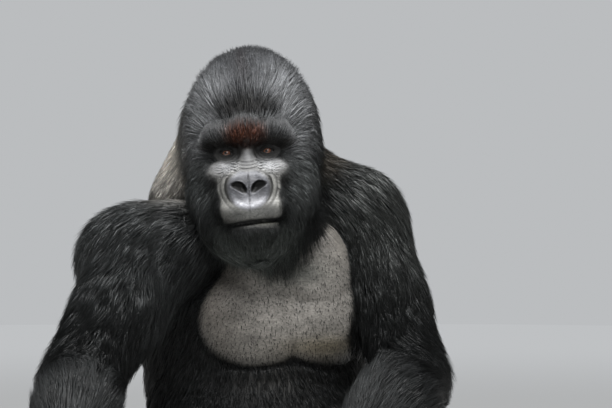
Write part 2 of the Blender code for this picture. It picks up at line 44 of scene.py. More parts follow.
# the skeleton, the same joints that the solids are built on, in metres
joints = {
    "eyes": Vector((-0.025, -0.19, 0.8)),
    "headTurn": Euler((0.0, math.radians(-3.3), math.radians(0.5))),
    "shoulder": {"left": Vector((0.168, 0.05, 0.669)), "right": Vector((-0.212, -0.072, 0.602))},
    "elbow": {"left": Vector((0.275, -0.16, 0.385)), "right": Vector((-0.322, -0.3, 0.392))},
    "wrist": {"left": Vector((0.118, -0.365, 0.172)), "right": Vector((-0.345, -0.5, 0.172))},
    "hip": {"left": Vector((0.095, 0.02, 0.125)), "right": Vector((-0.1, 0.03, 0.125))},
    "knee": {"left": Vector((0.378, -0.125, 0.175)), "right": Vector((-0.372, -0.155, 0.175))},
    "ankle": {"left": Vector((0.288, -0.395, 0.08)), "right": Vector((-0.2, -0.4, 0.08))},
    "trunk": Vector((-0.01, 0.03, 0.0)),
    "chestYaw": math.radians(18),
    "bellyYaw": math.radians(10),
}
body = {
    "eyeRadius": 0.0128,
    "eyeOffset": 0.037,
    "earOffset": 0.112,
    "earPlace": (0.08, -0.012),
    "rightSlim": 0.011,
    "fingerPitch": 0.0275,
    "fingerRadius": 0.014,
    "toePitch": 0.023,
    "toeRadius": 0.0128,
    "sliceHalfHeight": 0.115,
    "twist": (0.2, 0.5),  # between these heights the belly's yaw turns into the chest's
    # the arms: where the deltoid swells, how the upper arm bows, its radii from the top down, its coat
    "deltoid": {"right": Vector((-0.26, -0.075, 0.6))},
    "armBow": {"left": Vector((0.01, 0.0, 0.0)), "right": Vector((0.0, 0.0, 0.0))},
    "armRadii": {"left": (0.08, 0.056, 0.049), "right": (0.08, 0.064, 0.053)},
    "armCoat": 0.025,
    # height, half width, reach forward and back of the spine, depth of coat
    "chestLevels": (
        (0.62, 0.135, 0.085, 0.172, 0.01),
        (0.56, 0.165, 0.115, 0.176, 0.01),
        (0.49, 0.185, 0.14, 0.17, 0.01),
        (0.42, 0.195, 0.15, 0.162, 0.01),
    ),
    "bellyLevels": (
        (0.35, 0.2, 0.172, 0.155, 0.012),
        (0.28, 0.202, 0.195, 0.155, 0.012),
        (0.21, 0.196, 0.185, 0.158, 0.014),
        (0.14, 0.186, 0.14, 0.162, 0.014),
        (0.09, 0.165, 0.11, 0.15, 0.012),
    ),
}
sides = {"left": 1.0, "right": -1.0}
headMatrix = joints["headTurn"].to_matrix()
downBack = Vector((0.0, 0.25, -1.0))
hang = 0.25  # how far the hair of a limb hangs away from the limb's own line


def upward(height):
    return Vector((0.0, 0.0, height))


def slimmed(side):
    # the hair of the head lies flatter on the right
    return body["rightSlim"] if side < 0 else 0.0


def capsule(start, end, startRadius, endRadius, coat=0.0, blend=0.03, lie=1.0):
    coats = coat if isinstance(coat, tuple) else (coat, coat)
    start, end = Vector(start), Vector(end)
    # coat: how deep it is, at each end or all along; blend: how softly the form meets the ones before it
    return {
        "kind": "capsule",
        "start": start,
        "end": end,
        "radii": (startRadius, endRadius),
        "coats": coats,
        "blend": blend,
        "lie": (end - start).normalized() * lie + upward(-hang * abs(lie)),
    }


def ellipsoid(centre, radii, coat=0.0, blend=0.03, turn=(0.0, 0.0, 0.0), hollow=False):
    coats = coat if isinstance(coat, tuple) else (coat, coat, coat)
    return {
        "kind": "ellipsoid",
        "start": Vector(centre),
        "radii": tuple(radii),
        "coats": coats,
        "turn": Euler([math.radians(angle) for angle in turn]).to_matrix(),
        "blend": blend,
        "hollow": hollow,
        "lie": downBack,
    }


def placed(forms, matrix, origin):
    for form in forms:
        form["start"] = origin + matrix @ form["start"]
        if form["kind"] == "capsule":
            form["end"] = origin + matrix @ form["end"]
        else:
            form["turn"] = matrix @ form["turn"]
    return forms


def inTrunk(yaw, left, forward, up):
    side = Vector((math.cos(yaw), math.sin(yaw), 0.0))
    front = Vector((math.sin(yaw), -math.cos(yaw), 0.0))
    return joints["trunk"] + side * left + front * forward + upward(up)


def headForms():
    still = Vector()  # the head's hair has guides of its own
    forms = [
        ellipsoid((0.009, 0.1, 0.066), (0.103, 0.102, 0.095), (0.026, 0.014, 0.02), 0.02),
        ellipsoid((0.01, 0.112, 0.112), (0.066, 0.088, 0.062), (0.026, 0.018, 0.02), 0.04),
        ellipsoid((0, 0.15, 0.01), (0.095, 0.085, 0.11), 0.015, 0.04),
    ]
    for side in sides.values():
        slim, brow = slimmed(side), (0.054 * side, -0.007, 0.033)
        forms += [
            ellipsoid((0.05 * side + slim, 0.088, 0.016), (0.058, 0.07, 0.078), (0.026, 0.014, 0.026), 0.03),
            ellipsoid((0.065 * side + slim, 0.06, -0.07), (0.048, 0.056, 0.072), (0.031, 0.012, 0.03), 0.03),
            ellipsoid((0.038 * side, 0.018, -0.128), (0.045, 0.048, 0.048), (0.03, 0.006, 0.03), 0.03),
            ellipsoid((0.05 * side, 0.01, -0.036), (0.032, 0.026, 0.026), 0, 0.02),
            capsule((0, -0.012, 0.037), brow, 0.0165, 0.0135, 0.007, 0.032),
            capsule(brow, (0.078 * side, 0.034, 0.004), 0.0135, 0.006, (0.007, 0.009), 0.03),
        ]
    forms += [
        ellipsoid((0.004, -0.005, -0.166), (0.046, 0.045, 0.025), (0.024, 0.01, 0.028), 0.02),
        ellipsoid((0, -0.024, -0.078), (0.06, 0.046, 0.058), 0, 0.02),
        ellipsoid((0.004, -0.042, -0.1), (0.064, 0.046, 0.028), 0, 0.012),
        ellipsoid((0.005, -0.037, -0.143), (0.048, 0.038, 0.024), 0.003, 0.014),
        capsule((0, -0.002, 0.012), (0, -0.044, -0.044), 0.014, 0.019, 0, 0.015),
        ellipsoid((0, -0.062, -0.07), (0.018, 0.018, 0.032), 0, 0.012),
    ]
    for side in sides.values():
        place, turn = (0.022 * side, -0.06, -0.066), (0, 14 * side, 0)
        forms.append(ellipsoid(place, (0.021, 0.019, 0.034), 0, 0.01, turn))
    for side in sides.values():
        slim = slimmed(side)
        forms += [
            ellipsoid((0.152 * side + slim, 0.076, -0.012), (0.026, 0.02, 0.031), 0, 0.012, hollow=True),
            ellipsoid((body["eyeOffset"] * side, -0.031, 0.0), (0.024, 0.016, 0.013), 0, 0.01, hollow=True),
            ellipsoid((body["eyeOffset"] * side, 0.001, 0.001), (0.025, 0.0152, 0.0165), 0, 0.007),
            ellipsoid((0.022 * side, 0.002, -0.014), (0.016, 0.013, 0.016), 0, 0.01),
        ]
    for form in forms:
        form["lie"] = still
    return placed(forms, headMatrix, joints["eyes"])


def earForms():
    forms = []
    for side in sides.values():
        ear = [
            ellipsoid((0.0, 0.0, 0.0), (0.006, 0.017, 0.026), 0, 0.003),
            ellipsoid((0.004 * side, 0.006, 0.004), (0.006, 0.016, 0.026), 0, 0.003),
            ellipsoid((0.012 * side, -0.002, 0.0), (0.009, 0.011, 0.017), 0, 0.004, hollow=True),
        ]
        turn = headMatrix @ Euler((math.radians(-12), 0.0, math.radians(-24 * side))).to_matrix()
        place = Vector((body["earOffset"] * side + slimmed(side), *body["earPlace"]))
        forms += placed(ear, turn, joints["eyes"] + headMatrix @ place)
    return forms


def neckForms():
    return [
        capsule((-0.02, -0.05, 0.83), (-0.018, 0.075, 0.69), 0.105, 0.135, 0.014, 0.05),
        capsule((-0.02, -0.105, 0.7), (0.012, -0.06, 0.59), 0.07, 0.09, 0.006, 0.04),
        capsule((-0.07, 0.05, 0.835), (-0.13, 0.02, 0.7), 0.061, 0.074, 0.012, 0.04),
        capsule((-0.01, 0.01, 0.775), (0.108, 0.065, 0.706), 0.072, 0.072, 0.014, 0.04),
    ]


def barrelForms(levels, blend):
    forms = []
    for height, halfWidth, ahead, behind, coat in levels:
        low, high = body["twist"]
        share = min(max((height - low) / (high - low), 0.0), 1.0)
        yaw = joints["bellyYaw"] + (joints["chestYaw"] - joints["bellyYaw"]) * share
        centre = inTrunk(yaw, 0, (ahead - behind) / 2, height)
        radii = (halfWidth, (ahead + behind) / 2, body["sliceHalfHeight"])
        forms.append(ellipsoid(centre, radii, (coat, coat * 0.6, coat), blend, (0, 0, math.degrees(yaw))))
    return forms


def chestForms():
    yaw = joints["chestYaw"]
    turn = (0, 0, math.degrees(yaw))
    forms = barrelForms(body["chestLevels"], 0.04)
    forms.append(ellipsoid(inTrunk(yaw, 0, -0.08, 0.655), (0.15, 0.1, 0.12), 0.012, 0.06, turn))
    for side in sides.values():
        forms += [
            ellipsoid(inTrunk(yaw, 0.115 * side, -0.06, 0.5), (0.09, 0.1, 0.15), 0.012, 0.06, turn),
            ellipsoid(inTrunk(yaw, 0.018 + 0.06 * side, 0.122, 0.49), (0.098, 0.068, 0.088), 0, 0.05, turn),
        ]
    forms.append(ellipsoid((0.09, -0.085, 0.59), (0.07, 0.06, 0.085), 0, 0.06))
    return forms


def bellyForms():
    return barrelForms(body["bellyLevels"], 0.04)


nailBeds = []  # start and end of the last bone, its radius, and which way the nail faces


def handForms(wrist, heading, thumbSide):
    ahead = Vector(heading).normalized()
    across = Vector((-ahead.y, ahead.x, 0.0)) * thumbSide
    forms = []
    for row, length in enumerate((0.94, 1.04, 1.0, 0.86)):
        offset = across * body["fingerPitch"] * (1.5 - row)
        root = wrist + offset * 0.45 + upward(-0.012)
        knuckle = wrist + offset * 0.95 + ahead * 0.024 * length + upward(0.083 - wrist.z)
        bend = knuckle + ahead * 0.044 * length + offset * 0.05 + upward(0.021 - knuckle.z)
        tuck = bend - ahead * 0.036 * length + upward(0.0125 - bend.z)
        tip = tuck - ahead * 0.014 + upward(0.028)
        forms += [
            capsule(root, knuckle, 0.026, 0.0185, 0.004, 0.015),
            capsule(knuckle, bend, 0.0172, 0.0158, 0, 0.005),
            capsule(bend, tuck, 0.0158, body["fingerRadius"], 0, 0.003),
            capsule(tuck, tip, body["fingerRadius"], 0.0115, 0, 0.003),
        ]
        nailBeds.append((tuck, tip, 0.0115, -ahead))
    thumbRoot = wrist + across * 0.04 + ahead * 0.002 + upward(-0.03)
    thumbKnuckle = thumbRoot + across * 0.016 + ahead * 0.01 + upward(-0.038)
    thumbTip = thumbKnuckle + ahead * 0.012 + upward(-0.036)
    forms += [
        capsule(thumbRoot, thumbKnuckle, 0.02, 0.015, 0.002, 0.012),
        capsule(thumbKnuckle, thumbTip, 0.014, 0.0112, 0, 0.004),
    ]
    nailBeds.append((thumbKnuckle, thumbTip, 0.0112, ahead))
    return forms


def armForms(name):
    side = sides[name]
    shoulder, elbow, wrist = (joints[joint][name] for joint in ("shoulder", "elbow", "wrist"))
    inward = Vector((-side, 0.15 * side, 0.35)).normalized()
    middle = shoulder.lerp(elbow, 0.5) + body["armBow"][name]
    top, mid, low = body["armRadii"][name]
    coat = body["armCoat"]
    bulge = elbow.lerp(wrist, 0.24)
    taper = elbow.lerp(wrist, 0.62)
    heading = Vector((-0.1, -1.0, 0.0)) if name == "left" else Vector((-0.06, -1.0, 0.0))
    forms = [
        capsule(shoulder + inward * 0.06, shoulder, 0.07, 0.08, 0.022, 0.04),
        capsule(shoulder, middle, top, mid, coat, 0.04),
        capsule(middle, elbow, mid, low, coat, 0.03),
        capsule(elbow, bulge, 0.052, 0.059, coat, 0.03, lie=-1.0),
        capsule(bulge, taper, 0.059, 0.047, coat, 0.03, lie=-1.0),
        capsule(taper, wrist, 0.047, 0.036, (coat, 0.006), 0.03, lie=-0.6),
    ]
    if name in body["deltoid"]:
        forms.append(ellipsoid(body["deltoid"][name], (0.07, 0.075, 0.072), coat, 0.04))
    return forms + handForms(wrist, heading, -side)


def footForms(ankle, heading, bigToeSide):
    ahead = Vector(heading).normalized()
    across = Vector((-ahead.y, ahead.x, 0.0)) * bigToeSide
    ground = Vector((ankle.x, ankle.y, 0.0))
    heel = ground - ahead * 0.046 + upward(0.034)
    ball = ground + ahead * 0.122 + upward(0.027)
    forms = [
        capsule(ankle, heel, 0.035, 0.037, 0.004, 0.025),
        capsule(heel, ball, 0.037, 0.029, 0.002, 0.02),
        capsule(ankle, ball, 0.036, 0.026, 0.004, 0.025),
    ]
    for row, length in enumerate((0.92, 1.0, 0.94, 0.8)):
        offset = across * body["toePitch"] * (1.1 - row)
        root = ground + offset * 0.75 + ahead * 0.1 + upward(0.029)
        joint = ground + offset + ahead * (0.132 + 0.026 * length) + upward(0.025)
        tip = joint + ahead * 0.038 * length + upward(0.0118 - joint.z)
        forms += [
            capsule(root, joint, 0.0195, 0.015, 0.002, 0.01),
            capsule(joint, tip, 0.0145, body["toeRadius"], 0, 0.003),
        ]
        nailBeds.append((joint, tip, body["toeRadius"], upward(1.0)))
    toeRoot = ground + across * 0.018 + ahead * 0.03 + upward(0.03)
    toeJoint = ground + across * 0.06 + ahead * 0.078 + upward(0.024)
    toeTip = ground + across * 0.07 + ahead * 0.124 + upward(0.015)
    forms += [
        capsule(toeRoot, toeJoint, 0.029, 0.021, 0.001, 0.015),
        capsule(toeJoint, toeTip, 0.019, 0.016, 0, 0.006),
    ]
    nailBeds.append((toeJoint, toeTip, 0.016, upward(1.0)))
    return forms


def legForms(name):
    side = sides[name]
    hip, knee, ankle = (joints[joint][name] for joint in ("hip", "knee", "ankle"))
    calf = knee.lerp(ankle, 0.32)
    heading = Vector((0.26, -1.0, 0.0)) if name == "left" else Vector((0.02, -1.0, 0.0))
    forms = [
        capsule(hip, hip.lerp(knee, 0.55), 0.1, 0.086, 0.018, 0.04),
        capsule(hip.lerp(knee, 0.55), knee, 0.086, 0.062, 0.02, 0.04),
        capsule(knee, calf, 0.06, 0.055, 0.018, 0.03),
        capsule(calf, ankle, 0.054, 0.036, 0.013, 0.03),
    ]
    return forms + footForms(ankle, heading, -side)


regions = {
    "head": headForms(),
    "ears": earForms(),
    "neck": neckForms(),
    "chest": chestForms(),
    "belly": bellyForms(),
    "armLeft": armForms("left"),
    "armRight": armForms("right"),
    "legLeft": legForms("left"),
    "legRight": legForms("right"),
}
regionNames = list(regions)
# forms that blend together, and how softly each group meets the rest
bodyGroups = [
    (regions["belly"] + regions["chest"] + regions["neck"] + regions["head"], 0.0),
    (regions["ears"], 0.004),
    (regions["armLeft"], 0.03),
    (regions["armRight"], 0.03),
    (regions["legLeft"], 0.03),
    (regions["legRight"], 0.03),
]
reach = 0.05  # farther from the forms than this the field isn't worked out


def formDistance(form, points, grow=0.0):
    # grow 0 gives the flesh, 1 the tips of the coat
    if form["kind"] == "capsule":
        start, end = np.array(form["start"]), np.array(form["end"])
        axis = end - start
        share = np.clip(((points - start) @ axis) / max(axis @ axis, 1e-12), 0, 1)
        away = np.linalg.norm(points - start - share[:, None] * axis, axis=1)
        first, second = (radius + coat * grow for radius, coat in zip(form["radii"], form["coats"]))
        return away - first - (second - first) * share
    radii = np.array(form["radii"]) + np.array(form["coats"]) * grow
    local = (points - np.array(form["start"])) @ np.array(form["turn"])
    scaled = np.linalg.norm(local / radii, axis=1)
    steep = np.linalg.norm(local / radii**2, axis=1)
    return scaled * (scaled - 1.0) / np.maximum(steep, 1e-9)


def blended(first, second, width):
    # the smaller of the two, rounded where they are alike
    share = np.maximum(width - np.abs(first - second), 0) / max(width, 1e-9)
    return np.minimum(first, second) - share * share * width * 0.25


def nearMask(form, points, room):
    if form["kind"] == "capsule":
        centre = (form["start"] + form["end"]) / 2
        radius = (form["end"] - form["start"]).length / 2 + max(form["radii"])
    else:
        centre, radius = form["start"], max(form["radii"])
    offset = points - np.array(centre)
    return np.einsum("ij,ij->i", offset, offset) < (radius + room) ** 2


def formBox(forms, room):
    low, high = [], []
    for form in forms:
        for end in ("start", "end"):
            if end in form:
                low.append(np.array(form[end]) - max(form["radii"]))
                high.append(np.array(form[end]) + max(form["radii"]))
    return np.min(low, axis=0) - room, np.max(high, axis=0) + room


def groupField(forms, points, grow=0.0):
    total = np.full(len(points), reach)
    low, high = formBox(forms, reach)
    inside = np.nonzero(((points > low) & (points < high)).all(axis=1))[0]
    part, found = points[inside], total[inside]
    for form in forms:
        near = nearMask(form, part, reach)
        if not near.any():
            continue
        distance = formDistance(form, part[near], grow)
        if form.get("hollow"):
            found[near] = -blended(-found[near], distance, form["blend"])
        else:
            found[near] = blended(found[near], distance, form["blend"])
    total[inside] = found
    return total


def toHead(points):
    return (points - np.array(joints["eyes"])) @ np.array(headMatrix)


def unitRows(rows):
    return rows / np.maximum(np.linalg.norm(rows, axis=1), 1e-9)[:, None]


def bump(distance, width, depth):
    return depth * np.exp(-((distance / width) ** 2))


def falling(value, limit=40):
    # 1 far below zero, 0 far above it
    return 1 / (1 + np.exp(np.clip(value, -limit, limit)))


def window(value, low, high, soft):
    return 1 / (1 + np.exp(-(value - low) / soft)) / (1 + np.exp((value - high) / soft))


# folds of the bare face: places and sizes in the head's own frame, in metres
face = {
    "box": (0.09, 0.03, -0.06, 0.13),  # where the folds are: half width, back, middle and half height
    "front": (-0.012, 0.006),  # behind this there are no folds, and how softly they start
    # the line between the lips, and its furrow: width, depth, how it fades at the corners
    "mouthHeight": -0.1245,
    "mouthMiddle": 0.01,
    "mouthHalfWidth": 0.055,
    "mouthSag": (0.003, 0.0055),  # how much lower its right end hangs, and both ends
    "mouthFurrow": (0.0026, 0.0055, 0.003),
    "lips": ((0.0075, 0.006), (-0.0085, 0.007)),  # of each: how far below the line, how wide
    "lipFullness": 0.0012,
    "lipReach": (0.04, 0.01),
    "lipEdge": (0.0042, 0.0016, 0.0012),  # below the mouth, width and height of the lower lip's rim
    "lipEdgeReach": (0.012, 0.062, 0.004),
    "noseMiddle": -0.066,
    "noseHalfWidth": 0.0385,
    "noseHalfHeight": 0.0355,
    "noseTaper": 0.08,
    "noseNotch": (0.1, 0.01),  # the notch in the top of the pad: how deep, how wide
    "nosePadRim": (0.86, 0.12, 0.001),
    # radius, depth and width of each fold round the nose, and how low it runs
    "noseFolds": ((1.1, 0.0024, 0.055, -0.084), (1.34, 0.0014, 0.06, -0.094)),
    "noseFoldTop": (-0.034, 0.005),
    # grooves down the middle: width, depth, and where each starts and ends
    "middleGrooves": ((0.0012, 0.0022, -0.1, -0.036), (0.003, 0.001, -0.122, -0.102)),
    "bridgeFolds": (-0.0175, -0.0235, -0.029),
    "bridgeFold": (8.0, 0.0014, 0.0012, 0.014),  # bend, width, depth, half length
    "frownLines": (0.007, -0.008),
    "frownLine": (0.1, 0.0022, 0.0014, 0.008, 0.036),  # slant, width, depth, from, to
    "nostrilPlace": (0.0168, -0.0605),
    "nostrilSlant": math.radians(30),
    "nostrilCurl": (16.0, 0.0012),  # how both ends of it curl down
    "nostrilSizes": (0.0132, 0.0066),
    "nostrilDepth": 0.0085,
    "nostrilEdge": (0.97, 0.19),
    "nostrilRim": (1.35, 0.22, 0.0008),
    "lidMiddle": 0.001,
    "lidHalfWidth": 0.0125,
    "upperLid": (0.0042, 0.7),  # height, and how full its curve is
    "lowerLid": 0.004,
    "lidCorner": 0.0006,
    "lidDepth": (0.0062, 0.00028),  # depth and softness of the opening
    "lidRim": (0.0013, 0.0011, 0.0007),
    "lidLong": 1.3,
    # radius, width and depth of each fold round the eye
    "lidFolds": ((0.0105, 0.0009, 0.0009), (0.0145, 0.0011, 0.0013), (0.019, 0.001, 0.0014)),
    # fine creases below the eyes: middle, half sizes, length of a wave, depth
    "creases": ((0.04, -0.026), (0.026, 0.014), 0.0042, 0.001),
    "creaseBend": (0.0022, 240, 90),  # how they wander, and how often, out and up
    "creaseRows": ((1, 0.35, 1, 1), (0.6, -0.75, -1, 0.8)),  # strength, slant, bend and pace of each row
    # folds down and out from the bridge: start, height, slope, bend, width, depth, from, to
    "cheekFolds": (0.0, -0.0065, -0.0125),
    "cheekFold": (0.024, -0.02, 0.55, 6.0, 0.0014, 0.0013, 0.02, 0.052),
}


def eyeGap(q, side):
    # below zero between the lids
    x, z = q[:, 0] * side - body["eyeOffset"], q[:, 2]
    share = np.clip(1 - (x / face["lidHalfWidth"]) ** 2, 0, 1)
    height, fullness = face["upperLid"]
    upper = height * share**fullness
    lower = face["lowerLid"] * share
    gap = np.maximum(z - face["lidMiddle"] - upper, -z + face["lidMiddle"] - lower)
    return np.maximum(gap, np.abs(x) - face["lidHalfWidth"] + face["lidCorner"])


def nostrilRing(q, side):
    # 1 on the rim of a nostril, less inside it
    place, slant = face["nostrilPlace"], face["nostrilSlant"]
    x, z = q[:, 0] * side - place[0], q[:, 2] - place[1]
    curl, lift = face["nostrilCurl"]
    along = x * math.cos(slant) + z * math.sin(slant)
    across = -x * math.sin(slant) + z * math.cos(slant)
    across = across + curl * along**2 - lift
    long, high = face["nostrilSizes"]
    return np.sqrt((along / long) ** 2 + (across / high) ** 2)


def noseRing(q):
    # 1 on the edge of the bare pad, which narrows towards the lip
    z = (q[:, 2] - face["noseMiddle"]) / face["noseHalfHeight"]
    width = face["noseHalfWidth"] * (1 + face["noseTaper"] * np.clip(z, -1.6, 1.0))
    depth, wide = face["noseNotch"]
    notch = depth * np.exp(-((q[:, 0] / wide) ** 2)) * (z > 0)
    return np.sqrt((q[:, 0] / width) ** 2 + z**2) + notch


def mouthAt(x):
    # the height of the line between the lips
    share = (x - face["mouthMiddle"]) / face["mouthHalfWidth"]
    rightSag, sag = face["mouthSag"]
    return face["mouthHeight"] + rightSag * share - sag * share**2


def creased(q, side):
    # the depth of the loose skin's furrows below an eye
    place, halfSizes, wave, depth = face["creases"]
    out, rise = q[:, 0] * side - place[0], q[:, 2] - place[1]
    within = np.exp(-((out / halfSizes[0]) ** 4) - (rise / halfSizes[1]) ** 4)
    amount, outWave, riseWave = face["creaseBend"]
    bend = amount * np.sin(out * outWave + rise * riseWave)
    turn = 2 * math.pi / wave
    ridges = 0
    for strength, slant, bow, pace in face["creaseRows"]:
        ridges = ridges + strength * np.cos((rise + slant * out + bow * bend) * turn * pace)
    return within * np.clip(ridges, -1, 1) * depth


def addEyeRelief(press, q, side):
    out, z = q[:, 0] * side, q[:, 2]
    edge, soft = face["nostrilEdge"]
    rim, width, height = face["nostrilRim"]
    ring = nostrilRing(q, side)
    press += face["nostrilDepth"] * falling((ring - edge) / soft, 30)
    press -= bump(ring - rim, width, height)
    gap = eyeGap(q, side)
    depth, soft = face["lidDepth"]
    rim, width, height = face["lidRim"]
    press += depth * falling(gap / soft, 30)
    press -= bump(gap - rim, width, height)
    lid = np.sqrt(((out - body["eyeOffset"]) / face["lidLong"]) ** 2 + (z - face["lidMiddle"]) ** 2)
    below = window(-z, -0.002, 0.5, 0.002)
    for index, (radius, width, depth) in enumerate(face["lidFolds"]):
        press += bump(lid - radius, width, depth) * (1.0 if index == 0 else below)
    press += creased(q, side)
    start, height, slope, bend, width, depth, first, last = face["cheekFold"]
    bow = z - height + slope * (out - start) - bend * (out - start) ** 2
    for shift in face["cheekFolds"]:
        press += bump(bow - shift, width, depth) * window(out, first, last, 0.004)


def faceRelief(q):
    # how far the surface is pressed in, at points in the head's own frame
    x, y, z = q[:, 0], q[:, 1], q[:, 2]
    middle, mouthLine = x - face["mouthMiddle"], mouthAt(x)
    width, depth, soft = face["mouthFurrow"]
    reach = face["mouthHalfWidth"]
    press = bump(z - mouthLine, width, depth) * window(middle, -reach, reach, soft)
    reach, soft = face["lipReach"]
    for drop, width in face["lips"]:
        press -= bump(z - mouthLine + drop, width, face["lipFullness"]) * window(middle, -reach, reach, soft)
    drop, width, height = face["lipEdge"]
    press -= bump(z - mouthLine + drop, width, height) * window(x, *face["lipEdgeReach"])
    ring = noseRing(q)
    for radius, depth, width, lowest in face["noseFolds"]:
        press += bump(ring - radius, width, depth) * window(z, lowest, *face["noseFoldTop"])
    radius, width, height = face["nosePadRim"]
    press -= bump(ring - radius, width, height)
    for width, depth, low, high in face["middleGrooves"]:
        press += bump(x, width, depth) * window(z, low, high, 0.003)
    bend, width, depth, reach = face["bridgeFold"]
    for height in face["bridgeFolds"]:
        press += bump(z - height - bend * x * x, width, depth) * window(np.abs(x), -1, reach, 0.002)
    slant, width, depth, low, high = face["frownLine"]
    for offset in face["frownLines"]:
        press += bump(x - offset - slant * (z - 0.02), width, depth) * window(z, low, high, 0.003)
    for side in sides.values():
        addEyeRelief(press, q, side)
    edge, soft = face["front"]
    return press * falling((y - edge) / soft)


def skinField(points, folds=True, grow=0.0):
    # the distance from the skin, below zero inside it
    total = None
    for forms, width in bodyGroups:
        found = groupField(forms, points, grow)
        total = found if total is None else blended(total, found, width)
    if folds:
        q = toHead(points)
        halfWidth, back, middle, halfHeight = face["box"]
        near = (np.abs(q[:, 0]) < halfWidth) & (q[:, 1] < back) & (np.abs(q[:, 2] - middle) < halfHeight)
        if near.any():
            total[near] += faceRelief(q[near])
    return total


def slope(points, step=0.0005, folds=True):
    corners = np.array([(1, -1, -1), (-1, -1, 1), (-1, 1, -1), (1, 1, 1)], float)
    return unitRows(sum(corner * skinField(points + corner * step, folds)[:, None] for corner in corners))


def readValues(rows, attribute, width, kind=np.float32):
    values = np.empty(len(rows) * width, kind)
    rows.foreach_get(attribute, values)
    return values.reshape(-1, width)


def meshPoints(mesh):
    return readValues(mesh.vertices, "co", 3).astype(float)


def setPoints(mesh, points):
    mesh.vertices.foreach_set("co", points.astype(np.float32).ravel())
    mesh.update()


def smoothed(mesh):
    mesh.polygons.foreach_set("use_smooth", [True] * len(mesh.polygons))


def meshFrom(shape, name):
    mesh = bpy.data.meshes.new(name)
    shape.to_mesh(mesh)
    shape.free()
    return mesh


def newObject(name, data):
    made = bpy.data.objects.new(name, data)
    bpy.context.scene.collection.objects.link(made)
    return made


def applied(obj):
    bpy.context.view_layer.update()
    graph = bpy.context.evaluated_depsgraph_get()
    mesh = bpy.data.meshes.new_from_object(obj.evaluated_get(graph))
    old = obj.data
    obj.modifiers.clear()
    obj.data = mesh
    mesh.name = obj.name
    bpy.data.meshes.remove(old)
    return obj


def addForm(shape, form):
    # a rough solid, for the voxels to wrap
    if form["kind"] == "ellipsoid":
        size = Matrix.Diagonal((*form["radii"], 1.0))
        matrix = Matrix.Translation(form["start"]) @ form["turn"].to_4x4() @ size
        bmesh.ops.create_icosphere(shape, subdivisions=3, radius=1.0, matrix=matrix)
        return
    for centre, radius in zip((form["start"], form["end"]), form["radii"]):
        bmesh.ops.create_icosphere(shape, subdivisions=3, radius=radius, matrix=Matrix.Translation(centre))
    axis = form["end"] - form["start"]
    turn = upward(1.0).rotation_difference(axis).to_matrix().to_4x4()
    middle = Matrix.Translation((form["start"] + form["end"]) / 2)
    first, second = form["radii"]
    size = {"radius1": first, "radius2": second, "depth": axis.length}
    bmesh.ops.create_cone(shape, cap_ends=True, segments=20, **size, matrix=middle @ turn)


skinSizes = {
    "voxel": 0.0055,
    "triangles": 186000,
    "handBoxHeight": 0.125,
    "handReach": {"wrist": 0.175, "ankle": 0.24},
    "handsFront": -0.34,
    "faceCentre": Vector((0.0, -0.045, -0.06)),
    "faceRadius": 0.11,
    "fineRadius": 0.085,
    "earRadius": 0.034,
    # the eye's lids and the nostril: place, stretch and radius
    "finest": (
        ((0.037, -0.014, 0.001), (0.75, 1, 1.2), 0.0135),
        ((0.017, -0.078, -0.06), (1, 1, 1), 0.0155),
    ),
    "settleStep": (0.006, 0.85),  # the farthest a point moves at once, and its share of the way
    # near the face the mesh is thinned less, the more so the closer
    "kept": (1.4, (0.3, 0.6, 0.95), 0.00002),
}


def denser(shape, chosen):
    # splits the faces whose middles lie in the chosen part
    middles = np.array([face.calc_center_median() for face in shape.faces])
    picked = [shape.faces[int(index)] for index in np.nonzero(chosen(middles))[0]]
    edges = list({edge for face in picked for edge in face.edges})
    bmesh.ops.subdivide_edges(shape, edges=edges, cuts=1, use_grid_fill=True)
    shape.faces.ensure_lookup_table()
    shape.verts.ensure_lookup_table()


def inFace(points, radius):
    return np.linalg.norm(toHead(points) - np.array(skinSizes["faceCentre"]), axis=1) < radius


def inEars(points):
    q = toHead(points)
    found = np.zeros(len(points), bool)
    for side in sides.values():
        ear = (body["earOffset"] * side, *body["earPlace"])
        found |= np.linalg.norm(q - ear, axis=1) < skinSizes["earRadius"]
    return found


def inHandsOrFeet(points):
    low = points[:, 2] < skinSizes["handBoxHeight"]
    near = np.zeros(len(points), bool)
    for name in sides:
        for joint, radius in skinSizes["handReach"].items():
            centre = np.array(joints[joint][name]) * (1, 1, 0.2)
            near |= np.linalg.norm((points - centre) * (1, 1, 0.6), axis=1) < radius
    return low & near & (points[:, 1] < skinSizes["handsFront"])


def finest(points):
    q = toHead(points)
    found = np.zeros(len(points), bool)
    for side in sides.values():
        for place, stretch, radius in skinSizes["finest"]:
            found |= np.linalg.norm((q - np.multiply(place, (side, 1, 1))) * stretch, axis=1) < radius
    return found


def detailed(points):
    return inFace(points, skinSizes["faceRadius"]) | inEars(points) | inHandsOrFeet(points)


def settle(mesh, rounds, folds=True, chosen=None):
    # moves the points onto the field's own surface
    points = meshPoints(mesh)
    picked = np.arange(len(points)) if chosen is None else np.nonzero(chosen(points))[0]
    farthest, share = skinSizes["settleStep"]
    for _ in range(rounds):
        part = points[picked]
        away = np.clip(skinField(part, folds), -farthest, farthest) * share
        points[picked] = part - slope(part, folds=folds) * away[:, None]
    setPoints(mesh, points)


